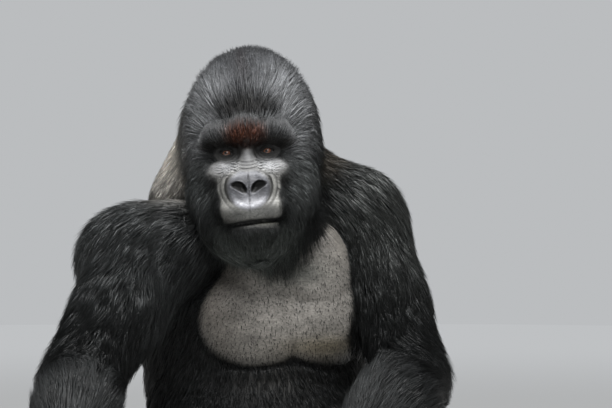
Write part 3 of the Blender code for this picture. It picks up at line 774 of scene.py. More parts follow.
def makeSkin():
    shape = bmesh.new()
    for forms in regions.values():
        for form in forms:
            if not form.get("hollow"):
                addForm(shape, form)
    skin = newObject("skin", meshFrom(shape, "skin"))
    remesh = skin.modifiers.new("wrap", "REMESH")
    remesh.mode = "VOXEL"
    remesh.voxel_size = skinSizes["voxel"]
    applied(skin)
    settle(skin.data, 3, folds=False)
    shape = bmesh.new()
    shape.from_mesh(skin.data)
    shape.faces.ensure_lookup_table()
    denser(shape, detailed)
    denser(shape, lambda p: inFace(p, skinSizes["fineRadius"]))
    denser(shape, finest)
    bmesh.ops.triangulate(shape, faces=[face for face in shape.faces if len(face.verts) > 4])
    shape.to_mesh(skin.data)
    shape.free()
    settle(skin.data, 2, chosen=detailed)
    settle(skin.data, 3, chosen=lambda p: inFace(p, skinSizes["faceRadius"]))
    points = meshPoints(skin.data)
    points[:, 2] = np.maximum(points[:, 2], 0.0)  # pressed level where it rests
    setPoints(skin.data, points)
    print("skin before thinning:", len(skin.data.polygons))
    group = skin.vertex_groups.new(name="kept")
    q = toHead(points)
    nearFace = np.linalg.norm(q - np.array(skinSizes["faceCentre"]), axis=1)
    most, levels, factor = skinSizes["kept"]
    weight = np.clip(most - nearFace / skinSizes["fineRadius"], 0, levels[-1])
    for level in levels:
        group.add([int(i) for i in np.nonzero(weight >= level)[0]], level, "REPLACE")
    reduce = skin.modifiers.new("thin", "DECIMATE")
    triangles = sum(len(face.vertices) - 2 for face in skin.data.polygons)
    reduce.ratio = min(1.0, skinSizes["triangles"] / triangles)
    reduce.vertex_group = group.name
    reduce.invert_vertex_group = True
    reduce.vertex_group_factor = factor
    applied(skin)
    skin.vertex_groups.clear()
    smoothed(skin.data)
    return skin


skin = makeSkin()
print("skin:", len(skin.data.vertices), "points,", len(skin.data.polygons), "faces")


# the coat's lie on the head, in the head's own frame: place on the left side, direction
headLies = (
    ((0.0, -0.025, 0.05), (0.0, 0.1, 1.0)),
    ((0.045, -0.01, 0.055), (0.5, 0.2, 1.0)),
    ((0.03, 0.0, 0.09), (0.25, 0.5, 1.0)),
    ((0.0, 0.04, 0.14), (0.0, 0.7, 0.7)),
    ((0.0, 0.11, 0.175), (0.0, 1.0, 0.1)),
    ((0.055, 0.09, 0.13), (0.6, 0.9, 0.5)),
    ((0.09, 0.04, 0.05), (0.9, 0.6, 0.45)),
    ((0.11, 0.06, 0.0), (1.0, 0.6, -0.2)),
    ((0.1, 0.04, -0.06), (0.8, 0.5, -0.8)),
    ((0.07, 0.0, -0.11), (0.5, 0.2, -1.0)),
    ((0.03, -0.03, -0.16), (0.15, -0.05, -1.0)),
    ((0.05, 0.16, 0.1), (0.3, 0.8, -0.5)),
    ((0.0, 0.21, 0.02), (0.0, 0.4, -1.0)),
    ((0.08, 0.16, -0.02), (0.4, 0.5, -1.0)),
)
looseLie = (0.0, 0.002, -0.01)  # where no form is near
lieReach = 0.07
lieSpread = 0.022
headLieSpread = 0.045
headLieWeight = 3.0


def coatLie(points, normals):
    flow = np.tile(looseLie, (len(points), 1))
    for forms in regions.values():
        for form in forms:
            if form.get("hollow") or form["lie"].length == 0:
                continue
            near = nearMask(form, points, lieReach)
            distance = np.maximum(formDistance(form, points[near]), 0)
            flow[near] += np.exp(-((distance / lieSpread) ** 2))[:, None] * np.array(form["lie"])
    q = toHead(points)
    for place, direction in headLies:
        for side in sides.values():
            mirror = np.array((side, 1.0, 1.0))
            away = np.linalg.norm(q - np.array(place) * mirror, axis=1)
            weight = headLieWeight * np.exp(-((away / headLieSpread) ** 2))
            lie = headMatrix @ Vector(np.array(direction) * mirror).normalized()
            flow += weight[:, None] * np.array(lie)
    return tangent(flow, normals)


def tangent(flow, normals):
    return unitRows(flow - normals * np.einsum("ij,ij->i", flow, normals)[:, None])


# colours shared by skin and coat, in linear light
furTone = (0.01, 0.0108, 0.011)
bareTone = (0.085, 0.084, 0.079)
# frame, place, half sizes, softness, value: laid one over the other; those of the head are mirrored. Some
# marks are painted sheen, highlight or shade, as noted at each
furMarks = (
    ("body", (0.0, 0.17, 0.4), (0.24, 0.13, 0.22), 0.2, (0.3, 0.294, 0.28)),
    # partly the neck's own pale thin hair, partly painted light: far lighter than that hair, standing in for
    # the sky lighting it from behind
    ("body", (-0.17, 0.02, 0.77), (0.06, 0.1, 0.085), 0.22, (0.85, 0.8, 0.73)),
    ("body", (0.115, 0.04, 0.765), (0.035, 0.06, 0.03), 0.25, (0.11, 0.096, 0.08)),
    # the crown and the temples: lighter partly for grey-tipped hair, partly as painted sheen of the light
    # from above
    ("head", (0.0, 0.04, 0.13), (0.09, 0.1, 0.07), 0.18, (0.028, 0.029, 0.031)),
    ("head", (0.068, 0.05, 0.1), (0.038, 0.08, 0.045), 0.2, (0.095, 0.098, 0.102)),
    ("head", (0.095, 0.04, 0.03), (0.04, 0.07, 0.065), 0.2, (0.14, 0.144, 0.148)),
    ("head", (0.09, 0.03, -0.065), (0.04, 0.06, 0.05), 0.25, (0.085, 0.091, 0.091)),
    # painted shade along the parting of the crown's hair
    ("head", (0.0, 0.07, 0.15), (0.008, 0.06, 0.03), 0.3, (0.014, 0.013, 0.014)),
    # painted shade in the groove behind the brow ridge
    ("head", (0.0, 0.01, 0.085), (0.066, 0.055, 0.02), 0.2, (0.0022, 0.0019, 0.0016)),
    # painted highlight along the top of the brow ridge's hair
    ("head", (0.0, 0.0, 0.061), (0.05, 0.05, 0.0045), 0.25, (0.045, 0.047, 0.048)),
    ("head", (0.066, -0.01, 0.04), (0.03, 0.05, 0.013), 0.2, (0.04, 0.041, 0.042)),
    # black hair above the eyes, made darker still as painted shadow under the brow
    ("head", (0.05, -0.01, 0.016), (0.058, 0.05, 0.013), 0.15, (0.007, 0.0065, 0.006)),
    ("face", (-0.002, -0.01, 0.034), (0.036, 0.05, 0.018), 0.14, (0.045, 0.012, 0.0045)),
    ("face", (-0.002, -0.01, 0.014), (0.012, 0.05, 0.012), 0.2, (0.02, 0.007, 0.004)),
    ("head", (0.06, 0.01, -0.05), (0.016, 0.05, 0.03), 0.25, (0.02, 0.02, 0.02)),
    # the beard: partly its own colour, partly lighter as painted sheen of the light from above
    ("head", (0.0, 0.0, -0.178), (0.07, 0.06, 0.045), 0.2, (0.085, 0.094, 0.088)),
    # painted sheen of the light from above on the tops of the shoulders
    ("body", (-0.27, -0.05, 0.59), (0.12, 0.16, 0.12), 0.3, (0.06, 0.064, 0.065)),
    ("body", (0.27, 0.0, 0.68), (0.11, 0.16, 0.13), 0.3, (0.05, 0.053, 0.051)),
)
bareMarks = (
    ("body", (0.0, -0.3, 0.03), (0.9, 0.9, 0.3), 0.05, (0.032, 0.032, 0.034)),
    ("body", (0.1, -0.385, 0.215), (0.06, 0.06, 0.05), 0.3, (0.006, 0.006, 0.006)),
    ("trunk", (0.05, -0.17, 0.5), (0.19, 0.14, 0.15), 0.12, (0.225, 0.212, 0.193)),
    ("trunk", (-0.085, -0.17, 0.52), (0.06, 0.14, 0.12), 0.25, (0.12, 0.11, 0.098)),
    ("trunk", (0.145, -0.13, 0.64), (0.05, 0.12, 0.055), 0.3, (0.09, 0.083, 0.074)),
    ("trunk", (0.06, -0.15, 0.36), (0.16, 0.15, 0.05), 0.25, (0.11, 0.104, 0.092)),
    # painted shade in the hollow below the throat
    ("trunk", (0.06, -0.17, 0.58), (0.05, 0.14, 0.024), 0.3, (0.085, 0.087, 0.078)),
    ("trunk", (0.12, -0.17, 0.44), (0.06, 0.14, 0.016), 0.4, (0.17, 0.145, 0.1)),
    # lighter skin under the eyes, partly its own colour, partly painted highlight of its shine
    ("head", (0.038, -0.015, -0.024), (0.024, 0.03, 0.011), 0.45, (0.27, 0.273, 0.28)),
    ("head", (0.0, -0.02, -0.008), (0.012, 0.05, 0.02), 0.35, (0.03, 0.031, 0.033)),
    ("head", (0.0, -0.05, -0.108), (0.06, 0.05, 0.013), 0.12, (0.13, 0.131, 0.125)),
    ("head", (0.05, -0.045, -0.08), (0.012, 0.05, 0.03), 0.2, (0.14, 0.139, 0.13)),
    # near-black round the eyes: dark skin, darkened further as painted shadow of the brow
    ("head", (0.036, -0.01, 0.006), (0.03, 0.03, 0.0185), 0.15, (0.003, 0.0028, 0.0027)),
)
# painted highlight along the rim of the lower lip
lipHighlight = (0.2, 0.198, 0.17)
noseTone = ((0.044, 0.045, 0.05), (0.165, 0.167, 0.179))  # upper and lower half of the pad
# painted shade inside the nostrils
nostrilShadeTone = (0.0015, 0.0015, 0.0015)
foldShadeDepth = 0.0012  # how deep a fold is that is half dark with painted shade; raised ridges get painted highlight on the same scale
shaded = 0.4  # how dark the skin is under the coat
deepest = 0.034
bareBelow = (0.003, 0.0008)  # where the coat is thinner than this the skin shows, and how softly
# how deep the coat is where the forms' own depth isn't right
depthMarks = (
    ("trunk", (0.05, -0.19, 0.53), (0.17, 0.15, 0.135), 0.06, 0.0019),
    ("trunk", (0.045, -0.19, 0.37), (0.12, 0.15, 0.022), 0.45, 0.004),
    ("head", (0.045, -0.015, 0.036), (0.062, 0.04, 0.022), 0.1, 0.0085),
    ("head", (0.0, -0.02, 0.018), (0.016, 0.04, 0.012), 0.12, 0.004),
    ("head", (0.068, -0.03, -0.094), (0.018, 0.05, 0.03), 0.2, 0.007),
    ("head", (0.0, -0.06, -0.155), (0.058, 0.05, 0.02), 0.1, 0.0075),
    ("head", (0.004, -0.05, -0.112), (0.052, 0.05, 0.0165), 0.12, 0.0015),
    ("head", (0.036, -0.02, -0.002), (0.022, 0.03, 0.011), 0.1, 0.0),
    ("head", (0.037, -0.02, 0.0145), (0.026, 0.03, 0.007), 0.12, 0.0035),
    ("head", (0.04, -0.02, -0.026), (0.023, 0.04, 0.013), 0.14, 0.0),
    ("head", (0.0, -0.07, -0.064), (0.041, 0.06, 0.04), 0.06, 0.0),
)


def marked(points, values, marks):
    values = np.array(values, float)
    q = toHead(points)
    for where, place, halfSizes, soft, value in marks:
        for side in sides.values() if where == "head" and place[0] else (1.0,):
            local = q if where in ("head", "face") else points
            local = local - np.array(place) * (side, 1.0, 1.0)
            ring = np.linalg.norm(local / halfSizes, axis=1)
            weight = falling((ring - 1) / soft)
            if where == "trunk":
                weight = weight * onTrunk
            weight = weight if values.ndim == 1 else weight[:, None]
            values += weight * (value - values)
    return values


def ripple(points, size, seed):
    # soft pattern without a grain of its own, from -1 to 1
    phase = np.random.default_rng(seed)
    total = np.zeros(len(points))
    for _ in range(6):
        wave = phase.normal(size=3)
        wave *= 2 * math.pi / (size * (0.7 + 0.6 * phase.random()) * np.linalg.norm(wave))
        total += np.sin(points @ wave + phase.random() * 6.283)
    return total / 2.5


skinPoints = meshPoints(skin.data)
skinNormals = readValues(skin.data.vertices, "normal", 3).astype(float)


def regionOf(points):
    nearest = np.full(len(points), reach * 2)
    found = np.zeros(len(points), int)
    for index, name in enumerate(regionNames):
        distance = groupField([form for form in regions[name] if not form.get("hollow")], points)
        closer = distance < nearest
        nearest[closer], found[closer] = distance[closer], index
    return found


skinRegion = regionOf(skinPoints)
trunk = [regionNames.index(name) for name in ("neck", "chest", "belly")]
onTrunk = np.isin(skinRegion, trunk).astype(float)
coatDepth = np.clip(-skinField(skinPoints, folds=False, grow=1.0), 0.0, deepest)
coatDepth = marked(skinPoints, coatDepth, depthMarks)
skinLie = coatLie(skinPoints, skinNormals)
bare = falling((coatDepth - bareBelow[0]) / bareBelow[1])
furColours = marked(skinPoints, np.tile(furTone, (len(skinPoints), 1)), furMarks)
bareColours = marked(skinPoints, np.tile(bareTone, (len(skinPoints), 1)), bareMarks)


facePaintSizes = {
    "frontOf": -0.04,
    "pad": (1.02, 0.03),
    "padChange": (-0.078, 0.005),  # where the pad's upper tone turns into its lower one
    "lipHighlightWidth": 0.002,
    "mouth": (0.004, 0.007, -0.048, 0.066, 0.003),  # width, depth, from, to and softness of the painted shade along the line between the lips
    # edge and softness of the painted shade inside each nostril
    "nostril": (1.1, 0.06),
    "foldShadePower": 1.6,
    "ridgeHighlightGain": 0.4,
}


# paints the bare face: the nose pad's tones, painted highlight on the lower lip's rim, painted shade in the
# folds, the mouth line and the nostrils
def facePaint(colours):
    sizes = facePaintSizes
    q = toHead(skinPoints)
    x, y, z = q[:, 0], q[:, 1], q[:, 2]
    edge, soft = sizes["pad"]
    pad = (y < sizes["frontOf"]) * falling((noseRing(q) - edge) / soft)
    height, soft = sizes["padChange"]
    tone = noseTone[0] + np.subtract(noseTone[1], noseTone[0]) * falling((z - height) / soft)[:, None]
    colours += pad[:, None] * (tone - colours)
    # painted highlight along the lower lip's rim
    rim = bump(z - mouthAt(x) + face["lipEdge"][0], sizes["lipHighlightWidth"], 1.0)
    rim = rim * window(x, *face["lipEdgeReach"]) * (y < -0.02)
    colours += rim[:, None] * (np.array(lipHighlight) - colours)
    inFront = inFace(skinPoints, skinSizes["faceRadius"])
    pressed = np.zeros(len(q))
    pressed[inFront] = faceRelief(q[inFront])
    # painted shade along the line between the lips
    width, depth, *reach = sizes["mouth"]
    pressed += bump(z - mouthAt(x), width, depth) * window(x, *reach) * (y < -0.01)
    # painted shade in the folds, the deeper the darker, and painted highlight on raised ridges
    dark = 1 / (1 + (np.maximum(pressed, 0) / foldShadeDepth) ** sizes["foldShadePower"])
    dark += sizes["ridgeHighlightGain"] * np.clip(-pressed / foldShadeDepth, 0, 1)
    colours *= dark[:, None]
    # painted shade inside the nostrils
    edge, soft = sizes["nostril"]
    for side in sides.values():
        inside = (y < sizes["frontOf"]) * falling((nostrilRing(q, side) - edge) / soft)
        colours += inside[:, None] * (np.array(nostrilShadeTone) - colours)
    return colours


bareColours = facePaint(bareColours)
skinColours = bareColours * bare[:, None] + furColours * (shaded * (1 - bare))[:, None]
print("coat laid out")


def paint(mesh, colours, name="tone"):
    layer = mesh.color_attributes.new(name, "FLOAT_COLOR", "POINT")
    values = np.ones((len(colours), 4), np.float32)
    values[:, :3] = colours
    layer.data.foreach_set("color", values.ravel())


paint(skin.data, skinColours)


def unwrap(piece):
    bpy.ops.object.select_all(action="DESELECT")
    piece.select_set(True)
    bpy.context.view_layer.objects.active = piece
    piece.data.uv_layers.new(name="OFBake")
    bpy.ops.object.mode_set(mode="EDIT")
    bpy.ops.mesh.select_all(action="SELECT")
    bpy.ops.uv.smart_project(angle_limit=math.radians(60), island_margin=0.002, scale_to_bounds=False)
    bpy.ops.object.mode_set(mode="OBJECT")


unwrap(skin)
skinUv = readValues(skin.data.uv_layers["OFBake"].data, "uv", 2)
print("skin unwrapped")

tufts = {
    "count": 148000,
    "rootWidth": 0.0023,
    "thickness": 0.42,
    "taper": 0.55,
    "shortest": 0.0045,
    "lengthPerDepth": 3.5,
    "bend": 0.42,  # how far up a tuft is jointed
    "rooted": 0.0012,  # how deep its root sits in the skin
    "heights": (0.5, 0.85, 1.0),  # share of its rise that it has at each third of its length
    "pull": (0.0, 0.25, 0.65, 1.0),  # how much of the pull towards its lock each point gets
    "bakePatch": 0.003,
    "lockShare": 0.08,  # one tuft in twelve leads a lock
    "glintShare": 0.28,
    "glint": 2.1,  # how much lighter the glinting ones are
    "shortMore": (1.4, 0.006),  # how many more there are where the coat is short, and how short that is
    "depthFrom": (0.0011, 0.003),  # no tufts below the first depth, and over how much more they thicken
    "leastDepth": 0.0012,
    "clearOfFloor": 0.004,
    "aboveFloor": 0.0004,
    "lengthRange": (0.7, 0.6),
    "sway": ((0.11, 0.045), (0.05, 0.016)),  # amount and size of the waves in which the coat sways
    "swayMore": 0.09,
    "rise": (0.72, 0.1, 0.03, 0.32),  # share of the depth, a wave's amount and size, and what varies
    "lockDepth": 0.014,  # coat as deep as this gathers fully
    "gather": (0.6, 0.6),
    "widthByDepth": (0.35, 0.016, 1.25),
    "widthRange": (0.7, 0.6),
    "shade": (0.35, 0.55, 0.25, 0.08),  # least, and what a tuft, its lock and the wave add
    "gain": (0.55, 0.75),  # a tuft lightens from its root to its tip
    "rollSpread": 0.5,
    # how dense the tufts are, how wide, and how firmly they gather into locks
    "regions": {
        "head": (3.6, 0.6, 0.25),
        "ears": (2.0, 0.5, 0.0),
        "neck": (1.5, 0.85, 0.35),
        "chest": (0.9, 1.15, 0.45),
        "belly": (0.7, 1.3, 0.45),
        "armLeft": (1.6, 0.95, 0.5),
        "armRight": (1.6, 0.95, 0.5),
        "legLeft": (0.75, 1.2, 0.45),
        "legRight": (0.75, 1.2, 0.45),
    },
}


def byRegion(column):
    return np.array([tufts["regions"][name][column] for name in regionNames])


def tuftShape(cuts):
    # a thin three-sided spike, one unit high, ringed at each cut
    shape = bmesh.new()
    base = {"cap_ends": True, "segments": 3, "radius1": 0.5, "radius2": 0.0, "depth": 1.0}
    bmesh.ops.create_cone(shape, **base, matrix=Matrix.Translation((0, 0, 0.5)))
    bmesh.ops.remove_doubles(shape, verts=shape.verts[:], dist=1e-5)
    for height in cuts:
        geometry = shape.verts[:] + shape.edges[:] + shape.faces[:]
        bmesh.ops.bisect_plane(shape, geom=geometry, plane_co=(0, 0, height), plane_no=(0, 0, 1))
    bmesh.ops.triangulate(shape, faces=shape.faces[:])
    bmesh.ops.recalc_face_normals(shape, faces=shape.faces[:])
    shape.verts.index_update()
    corners = np.array([vert.co[:] for vert in shape.verts])
    faces = np.array([[vert.index for vert in face.verts] for face in shape.faces])
    shape.free()
    return corners, faces


def tuftRoots():
    skin.data.calc_loop_triangles()
    triangles = skin.data.loop_triangles
    corners = readValues(triangles, "vertices", 3, np.int32)
    loops = readValues(triangles, "loops", 3, np.int32)
    areas = readValues(triangles, "area", 1)[:, 0]
    depth = coatDepth[corners].mean(axis=1)
    region = skinRegion[corners[:, 0]]
    more, short = tufts["shortMore"]
    least, full = tufts["depthFrom"]
    density = byRegion(0)[region] * (1 + more * np.exp(-depth / short))
    density = density * np.clip((depth - least) / full, 0.0, 1.0)
    low = skinPoints[corners, 2].max(axis=1) < tufts["clearOfFloor"]
    density[(depth < tufts["leastDepth"]) | low] = 0
    total = np.cumsum(areas * density)
    wanted = tufts["count"]
    picks = np.searchsorted(total, (np.arange(wanted) + rng.random(wanted)) / wanted * total[-1])
    first, second = rng.random(wanted), rng.random(wanted)
    over = first + second > 1
    first[over], second[over] = 1 - first[over], 1 - second[over]
    shares = np.stack((1 - first - second, first, second), axis=1)
    return corners[picks], loops[picks], shares, region[picks]


def mixed(values, corners, shares):
    # the values at places inside triangles
    return np.einsum("ij,ij...->i...", shares, values[corners])


def nearestOf(points, chosen):
    # gives a function that finds the nearest of the chosen points to each place
    tree = KDTree(len(chosen))
    for index in chosen:
        tree.insert(points[index], index)
    tree.balance()
    return lambda places: np.array([tree.find(place)[1] for place in places])


onSkin = nearestOf(skinPoints, range(len(skinPoints)))


def turned(flow, normals, angle):
    across = np.cross(normals, flow)
    return flow * np.cos(angle)[:, None] + across * np.sin(angle)[:, None]


def varied(name, count):
    least, more = tufts[name]
    return least + more * rng.random(count)


def growTufts():
    corners, loops, shares, region = tuftRoots()
    roots = mixed(skinPoints, corners, shares)
    normals = unitRows(mixed(skinNormals, corners, shares))
    depth = mixed(coatDepth, corners, shares)
    count = len(roots)
    uv = mixed(skinUv, loops, shares)
    (broad, broadSize), (fine, fineSize) = tufts["sway"]
    lock = ripple(roots, broadSize, 1)
    length = np.maximum(tufts["shortest"], depth * tufts["lengthPerDepth"]) * varied("lengthRange", count)
    sway = broad * lock + fine * ripple(roots, fineSize, 2) + tufts["swayMore"] * rng.normal(size=count)
    least, wave, waveSize, more = tufts["rise"]
    rise = depth * (least + wave * ripple(roots, waveSize, 3) + more * rng.random(count))
    spine = [roots - normals * tufts["rooted"]]
    place, flow, up = roots, tangent(mixed(skinLie, corners, shares), normals), normals
    for height in tufts["heights"]:
        step = turned(flow, up, sway) * (length / 3)[:, None]
        moved = place + step
        nearest = onSkin(moved)
        up = skinNormals[nearest]
        above = np.einsum("ij,ij->i", moved - skinPoints[nearest], up)
        place = moved - up * above[:, None]
        flow = tangent(skinLie[nearest], up)
        spine.append(place + up * (rise * height)[:, None])
        if height == tufts["heights"][1]:
            colours = furColours[nearest]
    spine = np.stack(spine, axis=1)
    gather = byRegion(2)[region] * np.clip(depth / tufts["lockDepth"], 0.0, 1.0)
    leaders = np.nonzero(rng.random(count) < tufts["lockShare"])[0]
    lead = nearestOf(roots, leaders)(roots)
    for point, share in enumerate(tufts["pull"]):
        pull = gather * share * varied("gather", count)
        spine[:, point] += (spine[lead, point] - spine[:, point]) * pull[:, None]
    least, deep, most = tufts["widthByDepth"]
    width = tufts["rootWidth"] * byRegion(1)[region]
    width = width * np.clip(least + depth / deep, least, most) * varied("widthRange", count)
    darkest, own, ofLock, ofWave = tufts["shade"]
    shade = darkest + own * rng.random(count) + ofLock * rng.random(count)[lead] + ofWave * lock
    shade[rng.random(count) < tufts["glintShare"]] *= tufts["glint"]
    return {
        "spine": spine,
        "normal": normals,
        "width": width,
        "region": region,
        "uv": uv,
        "colour": colours * shade[:, None],
        "roll": rng.normal(size=count) * tufts["rollSpread"],
    }


def joinTufts(name, grown, chosen, cuts):
    corners, faces = tuftShape(cuts)
    count, perTuft = len(chosen), len(corners)
    shares = np.array((0.0, 1 / 3, 2 / 3, 1.0))
    spine = grown["spine"][chosen]
    ring = corners[:, 2]
    points = np.empty((count, perTuft, 3))
    along = unitRows(spine[:, 3] - spine[:, 0])
    across = unitRows(np.cross(along, grown["normal"][chosen]))
    across = turned(across, along, grown["roll"][chosen])
    outward = np.cross(across, along)
    width = grown["width"][chosen][:, None]
    radius = np.hypot(corners[:, 0], corners[:, 1])
    for index, share in enumerate(ring):
        weights = np.array([np.interp(share, shares, row) for row in np.eye(4)])
        middle = np.einsum("k,nkj->nj", weights, spine)
        if radius[index] > 1e-6:
            unit = corners[index, :2] / radius[index] * (0.5 * (1 - share) ** tufts["taper"])
            middle = middle + across * unit[0] * width + outward * (unit[1] * tufts["thickness"]) * width
        points[:, index] = middle
    points[:, :, 2] = np.maximum(points[:, :, 2], tufts["aboveFloor"])
    triangles = (faces[None] + np.arange(count)[:, None, None] * perTuft).reshape(-1)
    mesh = bpy.data.meshes.new(name)
    mesh.vertices.add(count * perTuft)
    mesh.vertices.foreach_set("co", points.astype(np.float32).ravel())
    mesh.loops.add(len(triangles))
    mesh.loops.foreach_set("vertex_index", triangles.astype(np.int32))
    mesh.polygons.add(len(triangles) // 3)
    mesh.polygons.foreach_set("loop_start", np.arange(0, len(triangles), 3, dtype=np.int32))
    smoothed(mesh)
    mesh.update(calc_edges=True)
    dark, lighter = tufts["gain"]
    gain = (dark + lighter * ring)[None, :, None]
    paint(mesh, (grown["colour"][chosen][:, None, :] * gain).reshape(-1, 3))
    patch = np.stack((corners[:, 0], ring - 0.5), axis=1) * tufts["bakePatch"]
    uv = (grown["uv"][chosen][:, None, :] + patch[None]).reshape(-1, 2)[triangles]
    layer = mesh.uv_layers.new(name="OFBake")
    layer.data.foreach_set("uv", uv.astype(np.float32).ravel())
    return newObject(name, mesh)


def principled(name, roughness, attribute="tone", **sockets):
    material = bpy.data.materials.new(name)
    material.use_nodes = True
    shader = material.node_tree.nodes["Principled BSDF"]
    shader.inputs["Roughness"].default_value = roughness
    for socket, value in sockets.items():
        shader.inputs[socket.replace("_", " ")].default_value = value
    if attribute:
        colour = material.node_tree.nodes.new("ShaderNodeAttribute")
        colour.attribute_name = attribute
        material.node_tree.links.new(colour.outputs["Color"], shader.inputs["Base Color"])
    return material


furMaterial = principled("coatHair", 0.42, Specular_IOR_Level=0.16)
skinMaterial = principled("bareSkin", 0.52, Specular_IOR_Level=0.26)
skinGrain = {
    "noise": (5.0, 0.62),  # detail and roughness
    "mottleRange": (1.5, 0.33, 0.67),  # stretch along z, and the span of grain that the mottling spreads out
    # scale, stretch along z, strength and depth of each layer of grain
    "wrinkle": (75.0, 1.8, 0.5, 0.0016),
    "pore": (420.0, 1.0, 0.4, 0.0005),
    # scale of each layer of mottling, and the range of brightness it gives
    "mottle": ((30.0, 0.75, 1.25), (210.0, 0.68, 1.32)),
}


def addNode(tree, kind, **inputs):
    # a node with its sockets set, or linked where the value is another node's output
    node = tree.nodes.new("ShaderNode" + kind)
    for name, value in inputs.items():
        socket = node.inputs[name.replace("_", " ")]
        if isinstance(value, bpy.types.NodeSocket):
            tree.links.new(value, socket)
        else:
            socket.default_value = value
    return node


def grainFac(tree, scale, stretch):
    place = addNode(tree, "TexCoord")
    turn = addNode(tree, "Mapping", Scale=(1.0, 1.0, stretch), Vector=place.outputs["Object"])
    detail, roughness = skinGrain["noise"]
    noise = {"Scale": scale, "Detail": detail, "Roughness": roughness}
    return addNode(tree, "TexNoise", Vector=turn.outputs["Vector"], **noise).outputs["Fac"]


def addGrain(material):
    tree = material.node_tree
    shader = tree.nodes["Principled BSDF"]
    for name in ("wrinkle", "pore"):
        scale, stretch, strength, depth = skinGrain[name]
        height = grainFac(tree, scale, stretch)
        relief = addNode(tree, "Bump", Strength=strength, Distance=depth, Height=height)
        for link in shader.inputs["Normal"].links:
            tree.links.new(link.from_socket, relief.inputs["Normal"])
        tree.links.new(relief.outputs["Normal"], shader.inputs["Normal"])
    stretch, low, high = skinGrain["mottleRange"]
    for scale, darkest, lightest in skinGrain["mottle"]:
        mottle = addNode(tree, "MapRange", From_Min=low, From_Max=high, To_Min=darkest, To_Max=lightest)
        tree.links.new(grainFac(tree, scale, stretch), mottle.inputs["Value"])
        mixer = addNode(tree, "VectorMath")
        mixer.operation = "SCALE"
        tree.links.new(shader.inputs["Base Color"].links[0].from_socket, mixer.inputs[0])
        tree.links.new(mottle.outputs["Result"], mixer.inputs["Scale"])
        tree.links.new(mixer.outputs["Vector"], shader.inputs["Base Color"])


addGrain(skinMaterial)
skin.data.materials.append(skinMaterial)

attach(skin, "root")
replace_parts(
    skin, "head", "neck", "chest", "abdomen", "ear_left", "ear_right",
    "upper_arm_left", "upper_arm_right", "forearm_left", "forearm_right", "hand_left", "hand_right",
    "thigh_left", "thigh_right", "shank_left", "shank_right", "foot_left", "foot_right",
)

grown = growTufts()
print("tufts grown:", len(grown["width"]))
pieceFaces = 180000
fur = []
perTuft = len(tuftShape((tufts["bend"],))[1])
for index, name in enumerate(regionNames):
    members = np.nonzero(grown["region"] == index)[0]
    parts = math.ceil(len(members) * perTuft / pieceFaces)
    for part in range(parts):
        piece = joinTufts(f"coat_{name}_{part + 1}", grown, members[part::parts], (tufts["bend"],))
        piece.data.materials.append(furMaterial)
        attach(piece, "root")
        fur.append(piece)
print("coat pieces:", len(fur), "faces:", sum(len(piece.data.polygons) for piece in fur))


eye = {
    "pupil": 10.0,  # half angles from the line of sight, in degrees
    "iris": 38.0,
    "rim": 42.0,
    "pupilTone": (0.002, 0.002, 0.002),
    "irisTone": (0.13, 0.04, 0.014),
    "streaks": (0.75, 0.35, 19),  # brightness of the iris, how much it varies, and how often round it
    "rimTone": (0.014, 0.006, 0.004),
    "whiteTone": (0.045, 0.022, 0.014),
    "look": Vector((-0.14, -1.0, 0.02)).normalized(),
}


def makeEye(name, side):
    shape = bmesh.new()
    bmesh.ops.create_uvsphere(shape, u_segments=40, v_segments=40, radius=body["eyeRadius"])
    mesh = meshFrom(shape, name)
    points = meshPoints(mesh)
    unit = points / body["eyeRadius"]
    angle = np.degrees(np.arccos(np.clip(unit[:, 2], -1, 1)))
    least, more, streaks = eye["streaks"]
    streak = least + more * np.sin(np.arctan2(unit[:, 1], unit[:, 0]) * streaks)
    tone = np.tile(eye["whiteTone"], (len(points), 1)).astype(float)
    tone[angle < eye["rim"]] = eye["rimTone"]
    inIris = angle < eye["iris"]
    tone[inIris] = np.array(eye["irisTone"]) * streak[inIris][:, None]
    tone[angle < eye["pupil"]] = eye["pupilTone"]
    centre = joints["eyes"] + headMatrix @ Vector((body["eyeOffset"] * side, 0, 0))
    turn = np.array(upward(1.0).rotation_difference(eye["look"]).to_matrix())
    setPoints(mesh, points @ turn.T + np.array(centre))
    smoothed(mesh)
    paint(mesh, tone)
    piece = newObject(name, mesh)
    piece.data.materials.append(eyeMaterial)
    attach(piece, "root")
    return piece


eyeMaterial = principled("wetEye", 0.06, Specular_IOR_Level=0.6, Coat_Weight=0.6, Coat_Roughness=0.03)
for name, side in sides.items():
    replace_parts(makeEye(f"eyeBall_{name}", side), f"eye_{name}")
print("eyes made")


nail = {
    "halfWidth": 0.66,  # all in shares of the fingertip's radius
    "halfLength": 0.78,
    "halfThickness": 0.16,
    "lift": 0.88,
    "ahead": 0.3,
    "crown": 0.3,  # how far its sides bend down
    "tone": (0.03, 0.026, 0.024, 1.0),
}


def makeNails():
    shape = bmesh.new()
    for start, end, radius, facing in nailBeds:
        along = (end - start).normalized()
        up = (facing - along * facing.dot(along)).normalized()
        across = up.cross(along)
        place = end + along * radius * nail["ahead"] + up * radius * nail["lift"]
        axes = Matrix((across, along, up)).transposed().to_4x4()
        size = Matrix.Diagonal((nail["halfWidth"], nail["halfLength"], nail["halfThickness"], 1.0)) * radius
        size[3][3] = 1.0
        made = bmesh.ops.create_icosphere(shape, subdivisions=3, radius=1.0, matrix=axes @ size)
        for vert in made["verts"]:
            side = vert.co.dot(across) / radius
            front = vert.co.dot(along) / radius
            vert.co += place - up * radius * nail["crown"] * (side**2 + 0.5 * max(front, 0) ** 2)
    mesh = meshFrom(shape, "nails")
    smoothed(mesh)
    piece = newObject("nails", mesh)
    nailMaterial = principled("nail", 0.34, attribute=None)
    nailMaterial.node_tree.nodes["Principled BSDF"].inputs["Base Color"].default_value = nail["tone"]
    mesh.materials.append(nailMaterial)
    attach(piece, "root")


makeNails()
print("nails made:", len(nailBeds))


